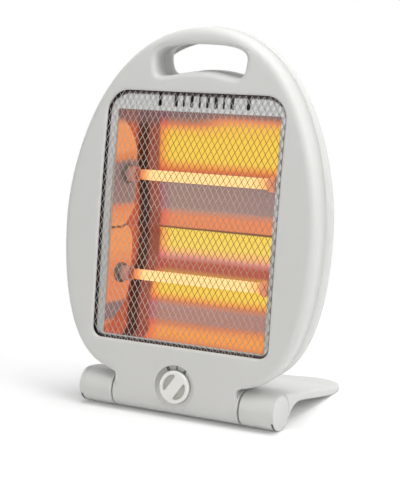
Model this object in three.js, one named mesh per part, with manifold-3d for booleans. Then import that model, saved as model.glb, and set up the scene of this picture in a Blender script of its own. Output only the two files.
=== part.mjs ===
// A halogen heater: an egg-shaped moulded housing with a carrying handle, a window with a diamond guard,
// two quartz tubes in front of a two-trough reflector, a rotary dial, and a stand that folds on two hubs.
// Millimetres, +Z up, the window faces -Y. The origin is in the middle of the floor area it covers.

import * as THREE from "three";
import { mergeVertices } from "three/addons/utils/BufferGeometryUtils.js";
import Module from "manifold-3d";

const wasm = await Module();
wasm.setup();

// ---------------------------------------------------------------- driving dimensions

// Material thicknesses and clearances
const wall = 2.5; // moulded shells
const sheet = 0.8; // folded metal sheets
const gap = 0.3; // between pieces that lie against each other
const skin = 0.05; // how far a cutter runs past the face it opens

// Fold axis of the stand, and the barrel and hubs round it
const axisY = 9;
const axisZ = 17.6;
const barrelRadius = 17;
const barrelHalf = 68.3; // half of the barrel's length
const standHalf = 107; // half of the stand's width, hub caps included
const hubRadius = barrelRadius - 0.1;
const hubWall = 3.2;
const washerThick = 1;
const capThick = 3.1;
const hubInner = barrelHalf + washerThick + 2 * gap; // inner end of a hub, from the middle
const hubOuter = standHalf - capThick - gap; // outer end of a hub, under its cap

// Housing seen from the front: two curves a side, from the crown over the waist to the neck
const crownZ = 370.5;
const crownReach = 108;
const waistZ = 180.8;
const halfWidth = 136;
const shoulderReach = 57.4;
const hipReach = 66.3;
const hipX = 122.2;
const hipZ = 41.7;
const neckHalf = barrelHalf - 2.3;
const chinZ = 38.5;

// Housing seen from the side: the face leans back and bows, the back is nearly straight
const faceFootSlope = 0.15;
const faceCrownY = 55;
const faceCrownSlope = 0.3;
const backFootY = 48.6;
const backSlope = 0.117;
const backBulge = 5;
const partSlope = 0.179; // lean of the joint between the two shells
const frontRound = 8;
const backRound = 15;
const shellGap = 0.3; // at the joint between the two shells

// Window
const windowHalf = 95.8;
const windowTop = 309.8;
const windowBottom = 69.3;
const windowTopRadius = 22;
const windowBottomRadius = 10;
const windowLip = 1.2; // rounding of the window's edge

// Handle hole
const gripHalf = 49;
const gripTop = 354.7;
const gripEndZ = 341;
const gripCornerX = 41;
const gripCornerZ = 324;
const gripFloorZ = 328.8;
const gripRound = 5;

// Guard net
const guardThick = 1.1;
const guardMargin = 4; // how far the net runs behind the window's edge
const guardBorder = 3;
const meshPitchX = 18.4;
const meshPitchZ = 30.8;
const strand = 1.4;

// Bezel sheet behind the guard
const bezelMargin = 5;
const bezelSide = 4.8; // from the window's edge to the reflector's mouth
const bezelTop = 18.8;
const bezelFoot = 3.5;
const slotWidth = 3.4;
const slotHeight = 13.5;
const slotInset = 2.2; // from the window's top edge
const slotPlaces = [4.3, 12.9, 21.5, 30.1, 47.3];

// Reflector
const troughDepth = 45.5; // behind the face
const ridgeDepth = 36;
const ridgeZ = 176.5;
const splay = 0.22; // how fast the end sheets close in with depth
const lip = 4; // folded edge behind the bezel

// Tubes and their holders
const tubeDepth = 31; // behind the face
const upperTubeZ = 225.5;
const lowerTubeZ = 127.5;
const tubeRadius = 5.25;
const tubeBore = 4;
const tubeInset = 6; // how far a tube sits in its holder
const coilWire = 0.55;
const coilTurns = 9;
const flangeRadius = 10;
const flangeThick = 3;
const collarRadius = 7.6;
const collarLength = 10;
const stemRadius = 5.5;
const stemLength = 11;

// Dial, knob and switch
const dialZ = 31.5;
const dialRadius = 21.7;
const dialFloorRadius = 17.6;
const dialDepth = 6;
const knobRadius = 16;
const knobHeight = 6.3;
const knobPocketRadius = 11.6;
const knobPocketDepth = 3;
const gripBarHalf = 4.6;
const knobTurn = 35; // degrees right of upright that the bar points at rest
const shaftRadius = 3;
const shaftHole = 3.6;
const switchWidth = 28;
const switchHeight = 22;
const switchDepth = 11;

// Stand
const standFrontY = 31.5;
const standRearY = 166;
const toeX = standHalf - 32;
const toeDip = 9; // how far the middle of the rear edge lies in front of the toes
const standShoulderY = 50;
const standShoulderZ = 27.1;
const standFrontZ = 30.6;
const standSlope = 0.211; // fall of the plate towards the toes
const plateThick = 9.3;
const toeThick = 6;
const standRound = 3;
const ribThick = 2.2;
const footThick = 2.2;
const footProud = 0.6;
const footRadius = 7;
const footRearY = 149;

// Hinge pins and washers
const pinRadius = 6;
const pinHeadRadius = 8.5;
const pinHeadThick = 2.4;
const pinBossRadius = 9.5;
const pinBossLength = 9;
const washerRadius = 12;

// Shell screws and their posts: [distance from the middle, height]
const screwPlaces = [
  [0.53 * halfWidth, crownZ - 48.5],
  [halfWidth - 20, waistZ - 15.8],
  [neckHalf - 6, chinZ + 13.5],
];
const postRadius = 5;
const bossRadius = 6.2;
const screwHeadRadius = 3.9;
const screwHeadThick = 2.4;
const screwRadius = 1.7;
const screwLength = 13;
const screwSeat = 4; // web left under the head

// Tip-over switch
const tiltRoom = halfWidth - windowHalf; // beside the window
const tiltX = windowHalf + 0.42 * tiltRoom;
const tiltZ = waistZ + 45;
const tiltDepth = 30; // behind the face
const tiltBox = [0.4 * tiltRoom, 20, 12];
const pendulumLength = 26;
const bobRadius = 5.5;
const bobLength = 13;

// Small inner pieces
const cutoutRadius = 8;
const cutoutThick = 6;
const terminalBox = [30, 14, 12];
const terminalRoom = 2.8; // to the boss of the lowest screw
const terminalX = terminalRoom + terminalBox[0] / 2 + bossRadius - screwPlaces[2][0];
const terminalY = 24;
const grommetX = 30;
const grommetZ = 68;
const grommetRadius = 6.5;
const grommetFlange = 9.5;
const grommetBore = 3.4;

// Louvres in the back
const louvreWidth = 5;
const louvreHeight = 44;
const louvrePitch = 15;
const louvreCount = 9;
const louvreRows = [104, 262];

// ---------------------------------------------------------------- shape helpers

const flat = (x, y) => new THREE.Vector2(x, y);
const point = (x, y, z) => new THREE.Vector3(x, y, z);

// A three.js geometry as a solid, turned so that its faces point out.
function solid(geometry) {
  const bare = geometry.index ? geometry.toNonIndexed() : geometry.clone();
  bare.deleteAttribute("normal");
  bare.deleteAttribute("uv");
  const merged = mergeVertices(bare, 1e-4);
  const corners = [];
  const index = merged.index.array;
  for (let i = 0; i < index.length; i += 3) {
    const [a, b, c] = index.slice(i, i + 3);
    if (a !== b && b !== c && c !== a) corners.push(a, b, c);
  }
  const build = (triVerts) =>
    new wasm.Manifold(
      new wasm.Mesh({ numProp: 3, vertProperties: merged.attributes.position.array, triVerts }),
    );
  const made = build(new Uint32Array(corners));
  return made.volume() < 0 ? build(new Uint32Array(corners.reverse())) : made;
}

const join = (...solids) => solids.reduce((all, next) => all.add(next));
const cut = (body, ...cutters) => cutters.reduce((left, cutter) => left.subtract(cutter), body);

// A closed body through rings with equal numbers of points. Each end is closed by strips between the
// points that mirror each other, so that a bowed end keeps its bow.
function loft(rings) {
  const count = rings[0].length;
  const index = [];
  for (let r = 0; r + 1 < rings.length; r++) {
    for (let i = 0; i < count; i++) {
      const a = r * count + i;
      const b = r * count + ((i + 1) % count);
      index.push(a, b, a + count, b, b + count, a + count);
    }
  }
  const half = count / 2;
  const strips = [[0, 1, count - 1]];
  for (let i = 1; i < half - 1; i++) {
    strips.push([i, i + 1, count - i - 1], [i, count - i - 1, count - i]);
  }
  strips.push([half - 1, half, half + 1]);
  const last = (rings.length - 1) * count;
  for (const [a, b, c] of strips) index.push(c, b, a, last + a, last + b, last + c);
  const geometry = new THREE.BufferGeometry().setFromPoints(rings.flat());
  geometry.setIndex(index);
  return solid(geometry);
}

// The right half of an outline, top to bottom, closed into a ring that runs clockwise.
function mirrored(half) {
  const left = half.slice(1, -1).reverse();
  return [...half, ...left.map((p) => flat(-p.x, p.y))];
}

function edgeNormal(a, b) {
  return flat(a.y - b.y, b.x - a.x).normalize();
}

// Moves each point of a clockwise ring inwards, by a distance that may differ from point to point.
function inset(ring, distance) {
  const count = ring.length;
  return ring.map((p, i) => {
    const before = edgeNormal(ring[(i + count - 1) % count], p);
    const after = edgeNormal(p, ring[(i + 1) % count]);
    const move = (distance instanceof Function ? distance(p) : distance) / (1 + before.dot(after));
    return flat(p.x - (before.x + after.x) * move, p.y - (before.y + after.y) * move);
  });
}

// A ring drawn in the front view, set at the depth that a function of height gives.
function upright(ring, depthAt) {
  return ring.map((p) => point(p.x, depthAt(p.y), p.y));
}

function arcPoints(cx, cy, radius, from, to, steps) {
  return Array.from({ length: steps + 1 }, (_, i) => {
    const angle = THREE.MathUtils.degToRad(from + ((to - from) * i) / steps);
    return flat(cx + radius * Math.cos(angle), cy + radius * Math.sin(angle));
  });
}

// A sheet with a clockwise outline that lies a depth behind the face, with holes punched straight through.
function sheetBehindFace(outline, holes, depth, thick) {
  const blank = loft([0, thick].map((more) => upright(outline, (z) => faceY(z) + depth + more)));
  const punches = new THREE.ExtrudeGeometry(
    holes.map((hole) => new THREE.Shape(hole)),
    { depth: 2 * crownZ, bevelEnabled: false },
  );
  return cut(blank, solid(bent(punches, (x, z, y) => point(x, y - crownZ, z))));
}

function bent(geometry, place) {
  const places = geometry.attributes.position;
  for (let i = 0; i < places.count; i++) {
    const p = place(places.getX(i), places.getY(i), places.getZ(i));
    places.setXYZ(i, p.x, p.y, p.z);
  }
  return geometry;
}

// A side profile of [y, z] points, drawn out along X.
function prismX(profile, x0, x1) {
  const shape = new THREE.Shape(profile.map(([y, z]) => flat(y, z)));
  const geometry = new THREE.ExtrudeGeometry(shape, { depth: x1 - x0, bevelEnabled: false });
  return solid(bent(geometry, (y, z, x) => point(x0 + x, y, z)));
}

function box(x0, x1, y0, y1, z0, z1) {
  const geometry = new THREE.BoxGeometry(x1 - x0, y1 - y0, z1 - z0);
  return solid(geometry.translate((x0 + x1) / 2, (y0 + y1) / 2, (z0 + z1) / 2));
}

function rodX(y, z, radius, x0, x1, sides = 20) {
  const geometry = new THREE.CylinderGeometry(radius, radius, Math.abs(x1 - x0), sides);
  return solid(geometry.rotateZ(Math.PI / 2).translate((x0 + x1) / 2, y, z));
}

function rodY(x, z, radius, y0, y1, sides = 16) {
  const geometry = new THREE.CylinderGeometry(radius, radius, y1 - y0, sides);
  return solid(geometry.translate(x, (y0 + y1) / 2, 0).applyMatrix4(liftAlong(z)));
}

function liftAlong(z) {
  return new THREE.Matrix4().makeTranslation(0, 0, z);
}

function rodZ(x, y, radius, z0, z1, sides = 16) {
  const geometry = new THREE.CylinderGeometry(radius, radius, z1 - z0, sides);
  return solid(geometry.rotateX(Math.PI / 2).translate(x, y, (z0 + z1) / 2));
}

// A [radius, length] profile turned about an axis that then lies along X.
function turnedX(profile, y, z, side = 1, sides = 20) {
  const points = profile.map(([radius, along]) => flat(radius, along));
  const geometry = new THREE.LatheGeometry(points, sides);
  return solid(geometry.rotateZ(-Math.PI / 2).scale(side, 1, 1).translate(0, y, z));
}

// ---------------------------------------------------------------- curves of the housing

const faceFootY = axisY - barrelRadius;

// Depth of the face at a height: a cubic between the barrel's front and the crown.
function faceY(z) {
  const rise = crownZ - axisZ;
  const u = (z - axisZ) / rise;
  const foot = faceFootY * (1 - 3 * u * u + 2 * u ** 3);
  const crown = faceCrownY * (3 * u * u - 2 * u ** 3);
  const lean = faceFootSlope * (u - 2 * u * u + u ** 3) + faceCrownSlope * (u ** 3 - u * u);
  return foot + crown + rise * lean;
}

const backY = (z) => backFootY + backSlope * z;
const partY = (z) => axisY + partSlope * (z - axisZ);

// The housing's outline; the hollow inside it makes do with every second point.
function housingRing(every = 1) {
  const shoulder = new THREE.CubicBezierCurve(
    flat(0, crownZ),
    flat(crownReach, crownZ),
    flat(halfWidth, waistZ + shoulderReach),
    flat(halfWidth, waistZ),
  );
  const hip = new THREE.CubicBezierCurve(
    flat(halfWidth, waistZ),
    flat(halfWidth, waistZ - hipReach),
    flat(hipX, hipZ),
    flat(neckHalf, chinZ),
  );
  const chin = [flat(neckHalf / 2, chinZ), flat(0, chinZ)];
  const ring = mirrored([...shoulder.getPoints(15), ...hip.getPoints(9).slice(1), ...chin]);
  return ring.filter((p, i) => i % every === 0);
}

function windowRing(cornerSteps = 5, sideSteps = 5) {
  const top = windowTop - windowTopRadius;
  const foot = windowBottom + windowBottomRadius;
  const upper = arcPoints(windowHalf - windowTopRadius, top, windowTopRadius, 90, 0, cornerSteps);
  const lower = arcPoints(windowHalf - windowBottomRadius, foot, windowBottomRadius, 0, -90, cornerSteps - 1);
  const side = Array.from({ length: sideSteps - 1 }, (_, i) => {
    return flat(windowHalf, top + ((foot - top) * (i + 1)) / sideSteps);
  });
  return mirrored([flat(0, windowTop), ...upper, ...side, ...lower, flat(0, windowBottom)]);
}

function gripRing() {
  const arch = new THREE.CubicBezierCurve(
    flat(0, gripTop),
    flat(gripHalf * 0.54, gripTop),
    flat(gripHalf, gripTop - 2),
    flat(gripHalf, gripEndZ),
  );
  const end = new THREE.CubicBezierCurve(
    flat(gripHalf, gripEndZ),
    flat(gripHalf, gripCornerZ + 6),
    flat(gripCornerX + 6, gripCornerZ),
    flat(gripCornerX, gripCornerZ),
  );
  const floor = new THREE.CubicBezierCurve(
    flat(gripCornerX, gripCornerZ),
    flat(gripCornerX - 12, gripCornerZ),
    flat(gripCornerX / 2, gripFloorZ),
    flat(0, gripFloorZ),
  );
  const half = [...arch.getPoints(6), ...end.getPoints(4).slice(1), ...floor.getPoints(3).slice(1)];
  return mirrored(half);
}

// ---------------------------------------------------------------- the two shells

const quarter = [0, 30, 60, 90].map(THREE.MathUtils.degToRad);
const coarseQuarter = [0, 45, 90].map(THREE.MathUtils.degToRad);

// The front rounding runs out towards the neck, where the face flows on into the barrel.
function roundingShare(p) {
  const beyond = (Math.abs(p.x) - neckHalf) / (2 * frontRound);
  return p.y > waistZ ? 1 : THREE.MathUtils.smoothstep(beyond, 0, 1);
}

// The front half of the egg, or with an inset the hollow inside it.
function frontEgg(inside, rearAt) {
  const ring = inside > 0 ? housingRing(2) : housingRing();
  const bend = inside > 0 ? coarseQuarter : quarter;
  const round = frontRound - inside;
  const rings = bend.map((angle) => {
    const taken = (p) => inside + round * (1 - Math.sin(angle)) * roundingShare(p);
    const depth = inside + round * (1 - Math.cos(angle));
    return upright(inset(ring, taken), (z) => faceY(z) + depth);
  });
  return loft([...rings, upright(inset(ring, inside), rearAt)]);
}

// The rear half of the egg, or with an inset the hollow inside it.
function rearEgg(inside, frontAt) {
  const ring = inside > 0 ? housingRing(2) : housingRing();
  const bend = inside > 0 ? coarseQuarter : quarter;
  const round = backRound - inside;
  const room = (z) => Math.min(round, 0.8 * (backY(z) - inside - partY(z)));
  const rings = bend.map((angle) => {
    const taken = inside + round * (1 - Math.cos(angle));
    return upright(inset(ring, taken), (z) => backY(z) - inside - room(z) * (1 - Math.sin(angle)));
  });
  const flatPart = inset(ring, inside + round);
  const middle = waistZ;
  const domed = [
    [0.82, 0.6],
    [0.5, 1],
  ].map(([share, rise]) => {
    const smaller = flatPart.map((p) => flat(p.x * share, middle + (p.y - middle) * share));
    return upright(smaller, (z) => backY(z) - inside + rise * backBulge);
  });
  return loft([upright(inset(ring, inside), frontAt), ...rings, ...domed]);
}

// Neck and barrel under the egg, or with an inset the hollow inside them.
function neck(inside) {
  const steps = 5;
  const rise = chinZ - axisZ;
  const front = Array.from({ length: steps + 1 }, (_, i) => {
    const z = axisZ + (rise * i) / steps;
    return [faceY(z) + inside, z];
  });
  const rear = axisY + barrelRadius - inside;
  const top = chinZ + frontRound;
  const profile = [...front, [faceY(top) + inside + wall, top], [rear, top], [rear, axisZ]];
  const body = prismX(profile, inside - neckHalf, neckHalf - inside);
  return join(body, rodX(axisY, axisZ, barrelRadius - inside, inside - barrelHalf, barrelHalf - inside, 40));
}

// Everything in front of the joint between the shells, or behind it.
const [jointFoot, jointTop] = [axisZ - 2 * barrelRadius, crownZ + barrelRadius];

function beforeJoint() {
  const far = faceFootY - halfWidth;
  const edge = (z) => partY(z) - shellGap / 2;
  const profile = [[far, jointFoot], [edge(jointFoot), jointFoot], [edge(jointTop), jointTop], [far, jointTop]];
  return prismX(profile, -halfWidth, halfWidth);
}

function behindJoint() {
  const far = backY(jointTop) + halfWidth;
  const edge = (z) => partY(z) + shellGap / 2;
  const profile = [[edge(jointFoot), jointFoot], [far, jointFoot], [far, jointTop], [edge(jointTop), jointTop]];
  return prismX(profile, -halfWidth, halfWidth);
}

function windowCutter() {
  const ring = windowRing();
  return loft([
    upright(inset(ring, -windowLip), (z) => faceY(z) - wall),
    upright(inset(ring, -windowLip), (z) => faceY(z)),
    upright(inset(ring, -0.3 * windowLip), (z) => faceY(z) + 0.3 * windowLip),
    upright(ring, (z) => faceY(z) + windowLip),
    upright(ring, (z) => faceY(z) + 2 * wall),
  ]);
}

// The handle hole with its rounded front and rear edges.
function gripCutter() {
  const ring = gripRing();
  const flared = (angle) => inset(ring, -gripRound * (1 - Math.sin(angle)));
  const sunk = (angle) => gripRound * (1 - Math.cos(angle));
  const front = quarter.map((angle) => upright(flared(angle), (z) => faceY(z) + sunk(angle)));
  const rear = quarter.map((angle) => upright(flared(angle), (z) => backY(z) - sunk(angle)));
  return loft([
    upright(flared(0), (z) => faceY(z) - wall),
    ...front,
    ...rear.reverse(),
    upright(flared(0), (z) => backY(z) + 2 * backBulge),
  ]);
}

function gripSleeve() {
  const ring = inset(gripRing(), -wall);
  return loft([upright(ring, (z) => faceY(z)), upright(ring, (z) => backY(z) + backBulge)]);
}

// The frame of the dial: its own z points out of the face, its y runs up along the face.
function dialFrame() {
  const step = 1;
  const slope = (faceY(dialZ + step) - faceY(dialZ - step)) / (2 * step);
  const frame = new THREE.Matrix4().makeRotationX(Math.PI / 2 - Math.atan(slope));
  return frame.setPosition(0, faceY(dialZ), dialZ);
}

// A [radius, height] profile turned about the dial's own axis.
function turnedDial(profile, sides = 32) {
  const points = profile.map(([radius, along]) => flat(radius, along));
  const geometry = new THREE.LatheGeometry(points, sides).rotateX(Math.PI / 2);
  return solid(geometry.applyMatrix4(dialFrame()));
}

function eachScrew(make) {
  return screwPlaces.flatMap(([x, z]) => [make(-x, z), make(x, z)]);
}

const screwSeatY = (z) => partY(z) + shellGap / 2 + screwSeat;

function frontShell() {
  const outside = join(
    frontEgg(0, (z) => partY(z) - shellGap / 2),
    neck(0).intersect(beforeJoint()),
  );
  const hollow = join(
    cut(frontEgg(wall, (z) => partY(z) + wall), gripSleeve()),
    neck(wall),
  );
  const posts = eachScrew((x, z) => rodY(x, z, postRadius, faceY(z) + wall / 2, partY(z - postRadius), 12));
  const cup = turnedDial([
    [0, -dialDepth - wall],
    [dialRadius + wall, -dialDepth - wall],
    [dialRadius + wall, -wall / 2],
    [0, -wall / 2],
  ]);
  const dish = turnedDial([
    [0, -dialDepth],
    [dialFloorRadius, -dialDepth],
    [dialRadius, 0],
    [dialRadius + wall, wall],
    [0, wall],
  ]);
  const shaftBore = turnedDial([
    [0, -dialDepth - 3 * wall],
    [shaftHole, -dialDepth - 3 * wall],
    [shaftHole, 0],
    [0, 0],
  ]);
  const pilots = eachScrew((x, z) => {
    return rodY(x, z, screwRadius + gap, screwSeatY(z) - screwLength - 1, partY(z) + wall, 8);
  });
  const pinBore = rodX(axisY, axisZ, pinRadius + gap, -barrelHalf - wall, barrelHalf + wall);
  const shell = join(cut(outside, hollow), ...posts, cup.intersect(neckSpace()));
  return cut(shell, windowCutter(), gripCutter(), dish, shaftBore, pinBore, ...pilots);
}

// The room inside the neck that the dial's cup may fill.
function neckSpace() {
  return neck(wall / 2).intersect(beforeJoint());
}

function rearShell() {
  const outside = join(
    rearEgg(0, (z) => partY(z) + shellGap / 2),
    neck(0).intersect(behindJoint()),
  );
  const hollow = join(
    cut(rearEgg(wall, (z) => partY(z) - wall), gripSleeve()),
    neck(wall),
  );
  const bosses = eachScrew((x, z) => {
    return rodY(x, z, bossRadius, partY(z + bossRadius) + shellGap, backY(z) - wall / 2, 12);
  });
  const bores = eachScrew((x, z) => {
    const seat = screwSeatY(z);
    return join(
      rodY(x, z, screwHeadRadius + gap, seat, backY(z) + 2 * backBulge, 12),
      rodY(x, z, screwRadius + gap, partY(z) - wall, seat + skin, 8),
    );
  });
  const grommetSeat = backY(grommetZ) - 1;
  const inlet = join(
    rodY(grommetX, grommetZ, grommetRadius + gap, grommetSeat - 4 * wall, grommetSeat + wall),
    rodY(grommetX, grommetZ, grommetFlange + gap, grommetSeat, grommetSeat + 4 * wall),
  );
  const inletPad = rodY(grommetX, grommetZ, grommetFlange + wall, grommetSeat - 2 * wall, grommetSeat);
  const pinBore = rodX(axisY, axisZ, pinRadius + gap, -barrelHalf - wall, barrelHalf + wall);
  const shell = join(cut(outside, hollow), ...bosses, inletPad, tiltShelf());
  return cut(shell, gripCutter(), pinBore, inlet, ...bores, ...louvres());
}

// Two banks of upright round-ended slots.
function louvres() {
  const straight = louvreHeight / 2 - louvreWidth / 2;
  const depth = 6 * wall + backBulge + 2 * backSlope * louvreHeight;
  return louvreRows.flatMap((rowZ) => {
    return Array.from({ length: louvreCount }, (_, i) => {
      const x = (i - (louvreCount - 1) / 2) * louvrePitch;
      const outline = [
        ...arcPoints(x, rowZ + straight, louvreWidth / 2, 180, 0, 2),
        ...arcPoints(x, rowZ - straight, louvreWidth / 2, 0, -180, 2),
      ];
      const shape = new THREE.Shape(outline);
      const geometry = new THREE.ExtrudeGeometry(shape, { depth, bevelEnabled: false });
      const start = backY(rowZ) - 3 * wall - backSlope * louvreHeight;
      return solid(bent(geometry, (sx, sz, run) => point(sx, start + run, sz)));
    });
  });
}

function shellScrew(x, z) {
  const head = screwSeatY(z) + gap;
  return join(
    rodY(x, z, screwHeadRadius, head, head + screwHeadThick, 12),
    rodY(x, z, screwRadius, head - screwLength, head + skin, 8),
  );
}

// ---------------------------------------------------------------- guard, bezel and reflector

const guardDepth = wall + gap;
const bezelDepth = guardDepth + guardThick + gap;
const mouthDepth = bezelDepth + sheet + gap; // where the reflector starts, behind the face
const mouthHalf = windowHalf - bezelSide;
const mouthTop = windowTop - bezelTop;
const mouthFoot = windowBottom + bezelFoot;

// What is left of a convex outline inside another convex outline that runs clockwise.
function clipped(outline, field) {
  let left = outline;
  field.forEach((a, i) => {
    const normal = edgeNormal(a, field[(i + 1) % field.length]);
    const past = (p) => normal.dot(p.clone().sub(a));
    const kept = [];
    left.forEach((p, k) => {
      const next = left[(k + 1) % left.length];
      const [here, there] = [past(p), past(next)];
      if (here <= 0) kept.push(p);
      if (here * there < 0) kept.push(p.clone().lerp(next, here / (here - there)));
    });
    left = kept;
  });
  return left;
}

// Diamond gaps of the net, whole ones inside the border and parts of diamonds along it.
function diamonds(field) {
  const [a, b] = [meshPitchX / 2, meshPitchZ / 2];
  const share = 1 - (strand / 2) * (Math.hypot(a, b) / (a * b));
  const [halfX, halfZ] = [a * share, b * share];
  const middle = (windowTop + windowBottom) / 2;
  const columns = Math.ceil(windowHalf / a) + 1;
  const rows = Math.ceil((windowTop - middle) / b) + 1;
  const gaps = [];
  for (let i = -columns; i <= columns; i++) {
    for (let k = -rows; k <= rows; k++) {
      if ((i + k) % 2 !== 0) continue;
      const [x, z] = [i * a, middle + k * b];
      const whole = [flat(x, z + halfZ), flat(x + halfX, z), flat(x, z - halfZ), flat(x - halfX, z)];
      const part = clipped(whole, field);
      if (part.length > 2 && Math.abs(THREE.ShapeUtils.area(part)) > strand * strand * 4) gaps.push(part);
    }
  }
  return gaps;
}

function guardNet() {
  const outline = inset(windowRing(2, 2), -guardMargin);
  const field = inset(windowRing(2, 2), guardBorder - guardMargin);
  return sheetBehindFace(outline, diamonds(field), guardDepth, guardThick);
}

function rectangle(x0, x1, z0, z1) {
  return [flat(x0, z1), flat(x1, z1), flat(x1, z0), flat(x0, z0)];
}

function bezel() {
  const outline = inset(windowRing(2, 2), -bezelMargin);
  const mouth = rectangle(-mouthHalf, mouthHalf, mouthFoot, mouthTop);
  const slotTop = windowTop - slotInset;
  const slots = slotPlaces.flatMap((place) => {
    return [-place, place].map((x) => {
      return rectangle(x - slotWidth / 2, x + slotWidth / 2, slotTop - slotHeight, slotTop);
    });
  });
  return sheetBehindFace(outline, [mouth, ...slots], bezelDepth, sheet);
}

// The reflector's section as [depth behind the face, height], from the upper edge to the lower.
// The bends of each trough lie at shares of its own height.
function reflectorPath() {
  const upperRise = mouthTop - ridgeZ;
  const lowerRise = ridgeZ - mouthFoot;
  const upper = new THREE.SplineCurve([
    flat(mouthDepth + sheet / 2, mouthTop),
    flat(troughDepth * 0.68, mouthTop - 0.18 * upperRise),
    flat(troughDepth * 0.95, mouthTop - 0.38 * upperRise),
    flat(troughDepth, ridgeZ + 0.4 * upperRise),
    flat(troughDepth, ridgeZ + 0.13 * upperRise),
    flat(ridgeDepth, ridgeZ),
  ]);
  const lower = new THREE.SplineCurve([
    flat(ridgeDepth, ridgeZ),
    flat(troughDepth, ridgeZ - 0.15 * lowerRise),
    flat(troughDepth, mouthFoot + 0.5 * lowerRise),
    flat(troughDepth * 0.93, mouthFoot + 0.29 * lowerRise),
    flat(troughDepth * 0.64, mouthFoot + 0.12 * lowerRise),
    flat(mouthDepth + sheet / 2, mouthFoot),
  ]);
  const edge = mouthDepth + sheet / 2;
  return [
    flat(edge, mouthTop + lip),
    ...upper.getPoints(13),
    ...lower.getPoints(13).slice(1),
    flat(edge, mouthFoot - lip),
  ];
}

// An open line moved sideways; to its left for a positive distance.
function beside(path, distance) {
  return path.map((p, i) => {
    const before = edgeNormal(path[Math.max(i - 1, 0)], path[Math.max(i, 1)]);
    const last = path.length - 1;
    const after = edgeNormal(path[Math.min(i, last - 1)], path[Math.min(i + 1, last)]);
    const move = distance / (1 + before.dot(after));
    return flat(p.x + (before.x + after.x) * move, p.y + (before.y + after.y) * move);
  });
}

// Half of the chamber's width at a depth behind the face.
const chamberHalf = (depth) => mouthHalf - splay * (depth - mouthDepth);

function reflector() {
  const path = reflectorPath();
  const outline = [...beside(path, sheet / 2), ...beside(path, -sheet / 2).reverse()];
  const geometry = new THREE.ExtrudeGeometry(new THREE.Shape(outline), { depth: 2, bevelEnabled: false });
  const place = (depth, z, x) => point((x - 1) * (chamberHalf(depth) - gap), faceY(z) + depth, z);
  return solid(bent(geometry, place));
}

// The splayed sheet that closes both troughs at one end; side is -1 for the left.
function reflectorEnd(side) {
  const back = beside(reflectorPath().slice(1, -1), sheet / 2 + 2 * gap);
  const [top, foot] = [back[0].y, back.at(-1).y];
  const steps = 8;
  const front = Array.from({ length: steps - 1 }, (_, i) => {
    return flat(mouthDepth + sheet, foot + ((top - foot) * (i + 1)) / steps);
  });
  const outline = [...back, ...front].map((p) => flat(faceY(p.y) + p.x, p.y));
  const geometry = new THREE.ExtrudeGeometry(new THREE.Shape(outline), { depth: sheet, bevelEnabled: false });
  const place = (y, z, x) => point(side * (chamberHalf(y - faceY(z)) + x), y, z);
  const stems = [upperTubeZ, lowerTubeZ].map((z) => {
    return rodX(tubeY(z), z, stemRadius + gap, side * chamberHalf(troughDepth) * 0.8, side * windowHalf, 12);
  });
  return cut(solid(bent(geometry, place)), ...stems);
}

// ---------------------------------------------------------------- tubes, coils and holders

const tubeY = (z) => faceY(z) + tubeDepth;
const plateX = chamberHalf(tubeDepth); // inner face of an end sheet at the tubes' depth
const holderMouth = plateX - flangeThick - collarLength;
const tubeHalf = holderMouth + tubeInset;

function quartzTube(z) {
  const section = [
    [tubeBore, -tubeHalf],
    [tubeRadius, -tubeHalf],
    [tubeRadius, tubeHalf],
    [tubeBore, tubeHalf],
    [tubeBore, -tubeHalf],
  ];
  return turnedX(section, tubeY(z), z);
}

// One unbroken wound wire that lies against the tube's bore, with a straight end at each side.
function heatingCoil(z) {
  const reach = tubeBore - gap - coilWire;
  const woundHalf = tubeHalf - 8 * coilWire;
  const steps = coilTurns * 8;
  const points = [];
  for (let i = 0; i <= steps; i++) {
    const angle = (2 * Math.PI * i) / 8;
    const x = -woundHalf + (2 * woundHalf * i) / steps;
    points.push(point(x, tubeY(z) + reach * Math.cos(angle), z + reach * Math.sin(angle)));
  }
  const straight = (p, x) => point(x, p.y, p.z);
  const path = [straight(points[0], -tubeHalf), ...points, straight(points.at(-1), tubeHalf)];
  const nearest = Math.min((2 * woundHalf) / coilTurns, 2 * reach) - 2 * coilWire;
  console.log("least gap between turns of a coil, mm:", nearest.toFixed(2));
  const wire = new THREE.Shape(arcPoints(0, 0, coilWire, 0, 360, 5).slice(1));
  const curve = new THREE.CatmullRomCurve3(path);
  return solid(new THREE.ExtrudeGeometry(wire, { steps: steps + 4, extrudePath: curve }));
}

// A ceramic holder: a flange against the splayed sheet, a collar for the tube, a stem through the sheet.
function tubeHolder(z, side) {
  const tilt = Math.atan(splay);
  const flange = new THREE.CylinderGeometry(flangeRadius, flangeRadius, flangeThick, 18)
    .rotateZ(Math.PI / 2)
    .rotateZ(tilt)
    .translate(plateX - (flangeThick / 2 + 2 * gap) / Math.cos(tilt), tubeY(z), z);
  const right = join(
    solid(flange),
    rodX(tubeY(z), z, collarRadius, holderMouth, plateX - flangeThick, 16),
    rodX(tubeY(z), z, stemRadius, plateX - flangeThick, plateX + stemLength, 12),
  );
  const bore = rodX(tubeY(z), z, tubeRadius + gap, holderMouth - 1, tubeHalf + gap, 16);
  const holder = cut(right, bore);
  return side > 0 ? holder : holder.mirror([1, 0, 0]);
}

// ---------------------------------------------------------------- dial, knob and switch

// Heights along the dial's axis, from the face
const knobFoot = gap - dialDepth;
const shaftTop = knobFoot + knobHeight - knobPocketDepth + gap;

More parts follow.
